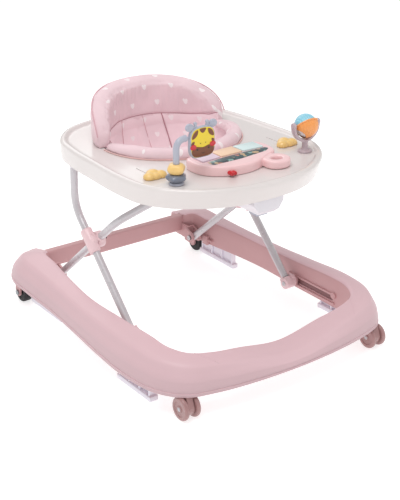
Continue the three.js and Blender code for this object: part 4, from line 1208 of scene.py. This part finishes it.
def build_spinner():
    x, y, z = BALL
    fork_radius = 31
    turns = [radians(a) for a in range(180, 361, 6)]
    arc = [(x + fork_radius * cos(a), y, z + fork_radius * sin(a)) for a in turns]
    arc = [(x - fork_radius, y, z + 6)] + arc + [(x + fork_radius, y, z + 6)]
    fork = sweep(arc, rounded_rectangle(-3, -6, 3, 6, 1.6), (1, 0, 0))
    tips = [disc("x", (x, y, z + 3), 6.5, low, low + 6, 1.2, 32) for low in (-34.4, 28.4)]
    stem = lathe("z", (x, y, 0), [
        (14.2, TOY_Z), (14.5, TOY_Z + 1), (14.4, TOY_Z + 3), (13, TOY_Z + 4.6), (8.5, TOY_Z + 5.6),
        (6.6, TOY_Z + 8), (6, TOY_Z + 12), (6, 423), (7.5, 427), (9, 430)], 48)
    make("toy_fork", join(fork, stem, *tips), "mauve", "tray", ["spinner_fork"])
    cap_profile = [(2.4, 33.8), (2.4, 34.8), (1.4, 35.2), (0.5, 35.2)]
    caps = [lathe("x", (x, y, z), [(r, side * h) for r, h in cap_profile], 20) for _, side in HANDS]
    make("toy_fork_caps", join(*caps), "mauve", "tray")
    tilt = Matrix.Rotation(radians(-43), 3, "X")

    def cap(low, high, size, ribs, keep=lambda v: True):
        """Part of a ball between two latitudes, with ribs that run across its pin."""
        rings = []
        for k in range(33):
            lat = radians(lerp(low, high, k / 32))
            ring = []
            for i in range(160):
                a = TAU * i / 160
                rib = abs(sin(cos(lat) * cos(a) * 16))
                v = tilt @ Vector((cos(lat) * cos(a), cos(lat) * sin(a), sin(lat)))
                v *= size * (1 + ribs * rib)
                ring.append((x + v.x, y + v.y, z + v.z))
            rings.append(ring)
        verts, faces = loft(rings)
        centre = Vector((x, y, z))
        return verts, [f for f in faces if keep((Vector(verts[f[0]]) - centre).normalized())]

    window = Vector((-0.71, -0.13, -0.69)).normalized()
    flange = []
    for radius, along_axis in ((22, -1.2), (26.4, -1.4), (27.2, -0.6), (27.2, 0.8), (26.4, 1.6), (22, 1.4)):
        ring = [tilt @ Vector((a, b, along_axis)) for a, b in circle(radius, 96)]
        flange.append([(x + v.x, y + v.y, z + v.z) for v in ring])
    lower = join(cap(-88, -1, 25, 0.035, lambda v: v.dot(window) < 0.86), loft(flange))
    pins = join(*[disc("x", (x, y, z), 2.7, low, low + 9, 0.3, 20) for low in (-32, 23)])
    make("toy_ball_top", cap(3, 88, 22.5, 0.04), "blue", "spinner_ball", ["spinner_ball"])
    make("toy_ball_bottom", lower, "orange", "spinner_ball")
    make("toy_ball_core", cap(-88, 2, 23.6, 0), "ivory", "spinner_ball")
    make("toy_ball_pins", pins, "mauve", "spinner_ball")


def build_bead_slides():
    for hand, side in HANDS:
        cx, cy, body = side * SLIDE_X, 214, f"bead_slide_{hand}"
        puffs = []
        for dx, dy, radius, rise in ((0, 4, 14.5, 11.4), (13, -4, 12.5, 9.6), (-12, -5, 12.5, 9.6),
                                     (2, -8, 10, 8.4)):
            rings = []
            for k in range(13):
                t = radians(lerp(-20, 88, k / 12))
                wide, z = radius * cos(t), max(TOY_Z + 0.1, 406.3 + rise * sin(t))
                rings.append([(a, b, z) for a, b in oval(cx + side * dx, cy + dy, wide, wide, 36)])
            puffs.append(loft(rings))
        cloud = make(f"toy_cloud_{hand}", join(*puffs), "yellow", None, ride=False)
        fuse(cloud, 0.9, 0.6, 9, "yellow")
        declare(cloud, body)
        stem = join(block((cx - 1.2, cy - 5, 396), (cx + 1.2, cy + 5, 406), 0.5),
                    block((cx - 6, cy - 6, 394.2), (cx + 6, cy + 6, 398.4), 1))
        make(f"toy_cloud_stem_{hand}", stem, "yellow", body, [body])


KEYS = {
    "lilac": [(-74, 178), (-29, 182), (-29, 217), (-74, 213)],
    "peach": [(-26, 183), (27, 185), (27, 220), (-26, 218)],
    "mint": [(30, 185), (80, 183), (80, 218), (30, 220)],
}


def music_handle():
    """The loop at the front of the music box."""
    middle_x, middle_y, middle_z, rx, ry = 67, 126.5, 412, 20.5, 18.5
    section = rounded_rectangle(-8.2, -8.4, 8.2, 8.4, 4.0)
    rings = []
    for i in range(72):
        c, s = cos(TAU * i / 72), sin(TAU * i / 72)
        px, py, out = middle_x + rx * c, middle_y + ry * s, Vector((c * ry, s * rx)).normalized()
        rings.append([(px + out.x * u, py + out.y * u, middle_z + v) for u, v in section])
    return loft(rings, closed=True)


def build_music_box():
    outline = curve([(-84, 219), (-91, 190), (-82, 158), (-48, 131), (0, 124), (34, 133), (62, 147),
                     (88, 158), (98, 185), (92, 221), (42, 227), (-20, 225)], 160)
    levels = [(0.8, TOY_Z), (0.2, TOY_Z + 0.6), (0, TOY_Z + 1.6), (0, 416.5), (0.4, 420), (1.3, 422.2),
              (2.6, 423.2), (4.2, MUSIC_TOP)]
    body = loft([[(a, b, z) for a, b in inset(outline, d)] for d, z in levels])
    box = make("toy_music_box", join(body, music_handle()), "music", None, ride=False)
    fuse(box, 1.2, 0.5, 5, "music")
    shapes = {name: soft_corners(corners, 3) for name, corners in KEYS.items()}
    carve(box, [plate(inset(shape, -1.0), 417.6, 427.5, 0.2) for shape in shapes.values()])
    declare(box, "tray", "music_box")
    for name, shape in shapes.items():
        make(f"toy_key_{name}", plate(shape, 420.9, 425.9, 1.0), name, f"key_{name}", [f"key_{name}"])
    strip = soft_corners([(-66, 155), (0, 154), (70, 163), (84, 172), (82, 180), (27, 181), (-26, 179),
                          (-68, 173)], 4)
    make("toy_strip", plate(strip, MUSIC_TOP - 0.4, MUSIC_TOP + 0.5, 0.25), "strip", "tray")
    button = join(disc("y", (-46, 0, 411), 4.4, 119.4, 140, 2.4, 32),
                  disc("y", (-39.4, 0, 411), 4.2, 119.0, 140, 2.6, 32))
    make("toy_button", button, "red", "music_button", ["music_button"])


build_giraffe()
build_spinner()
build_bead_slides()
build_music_box()
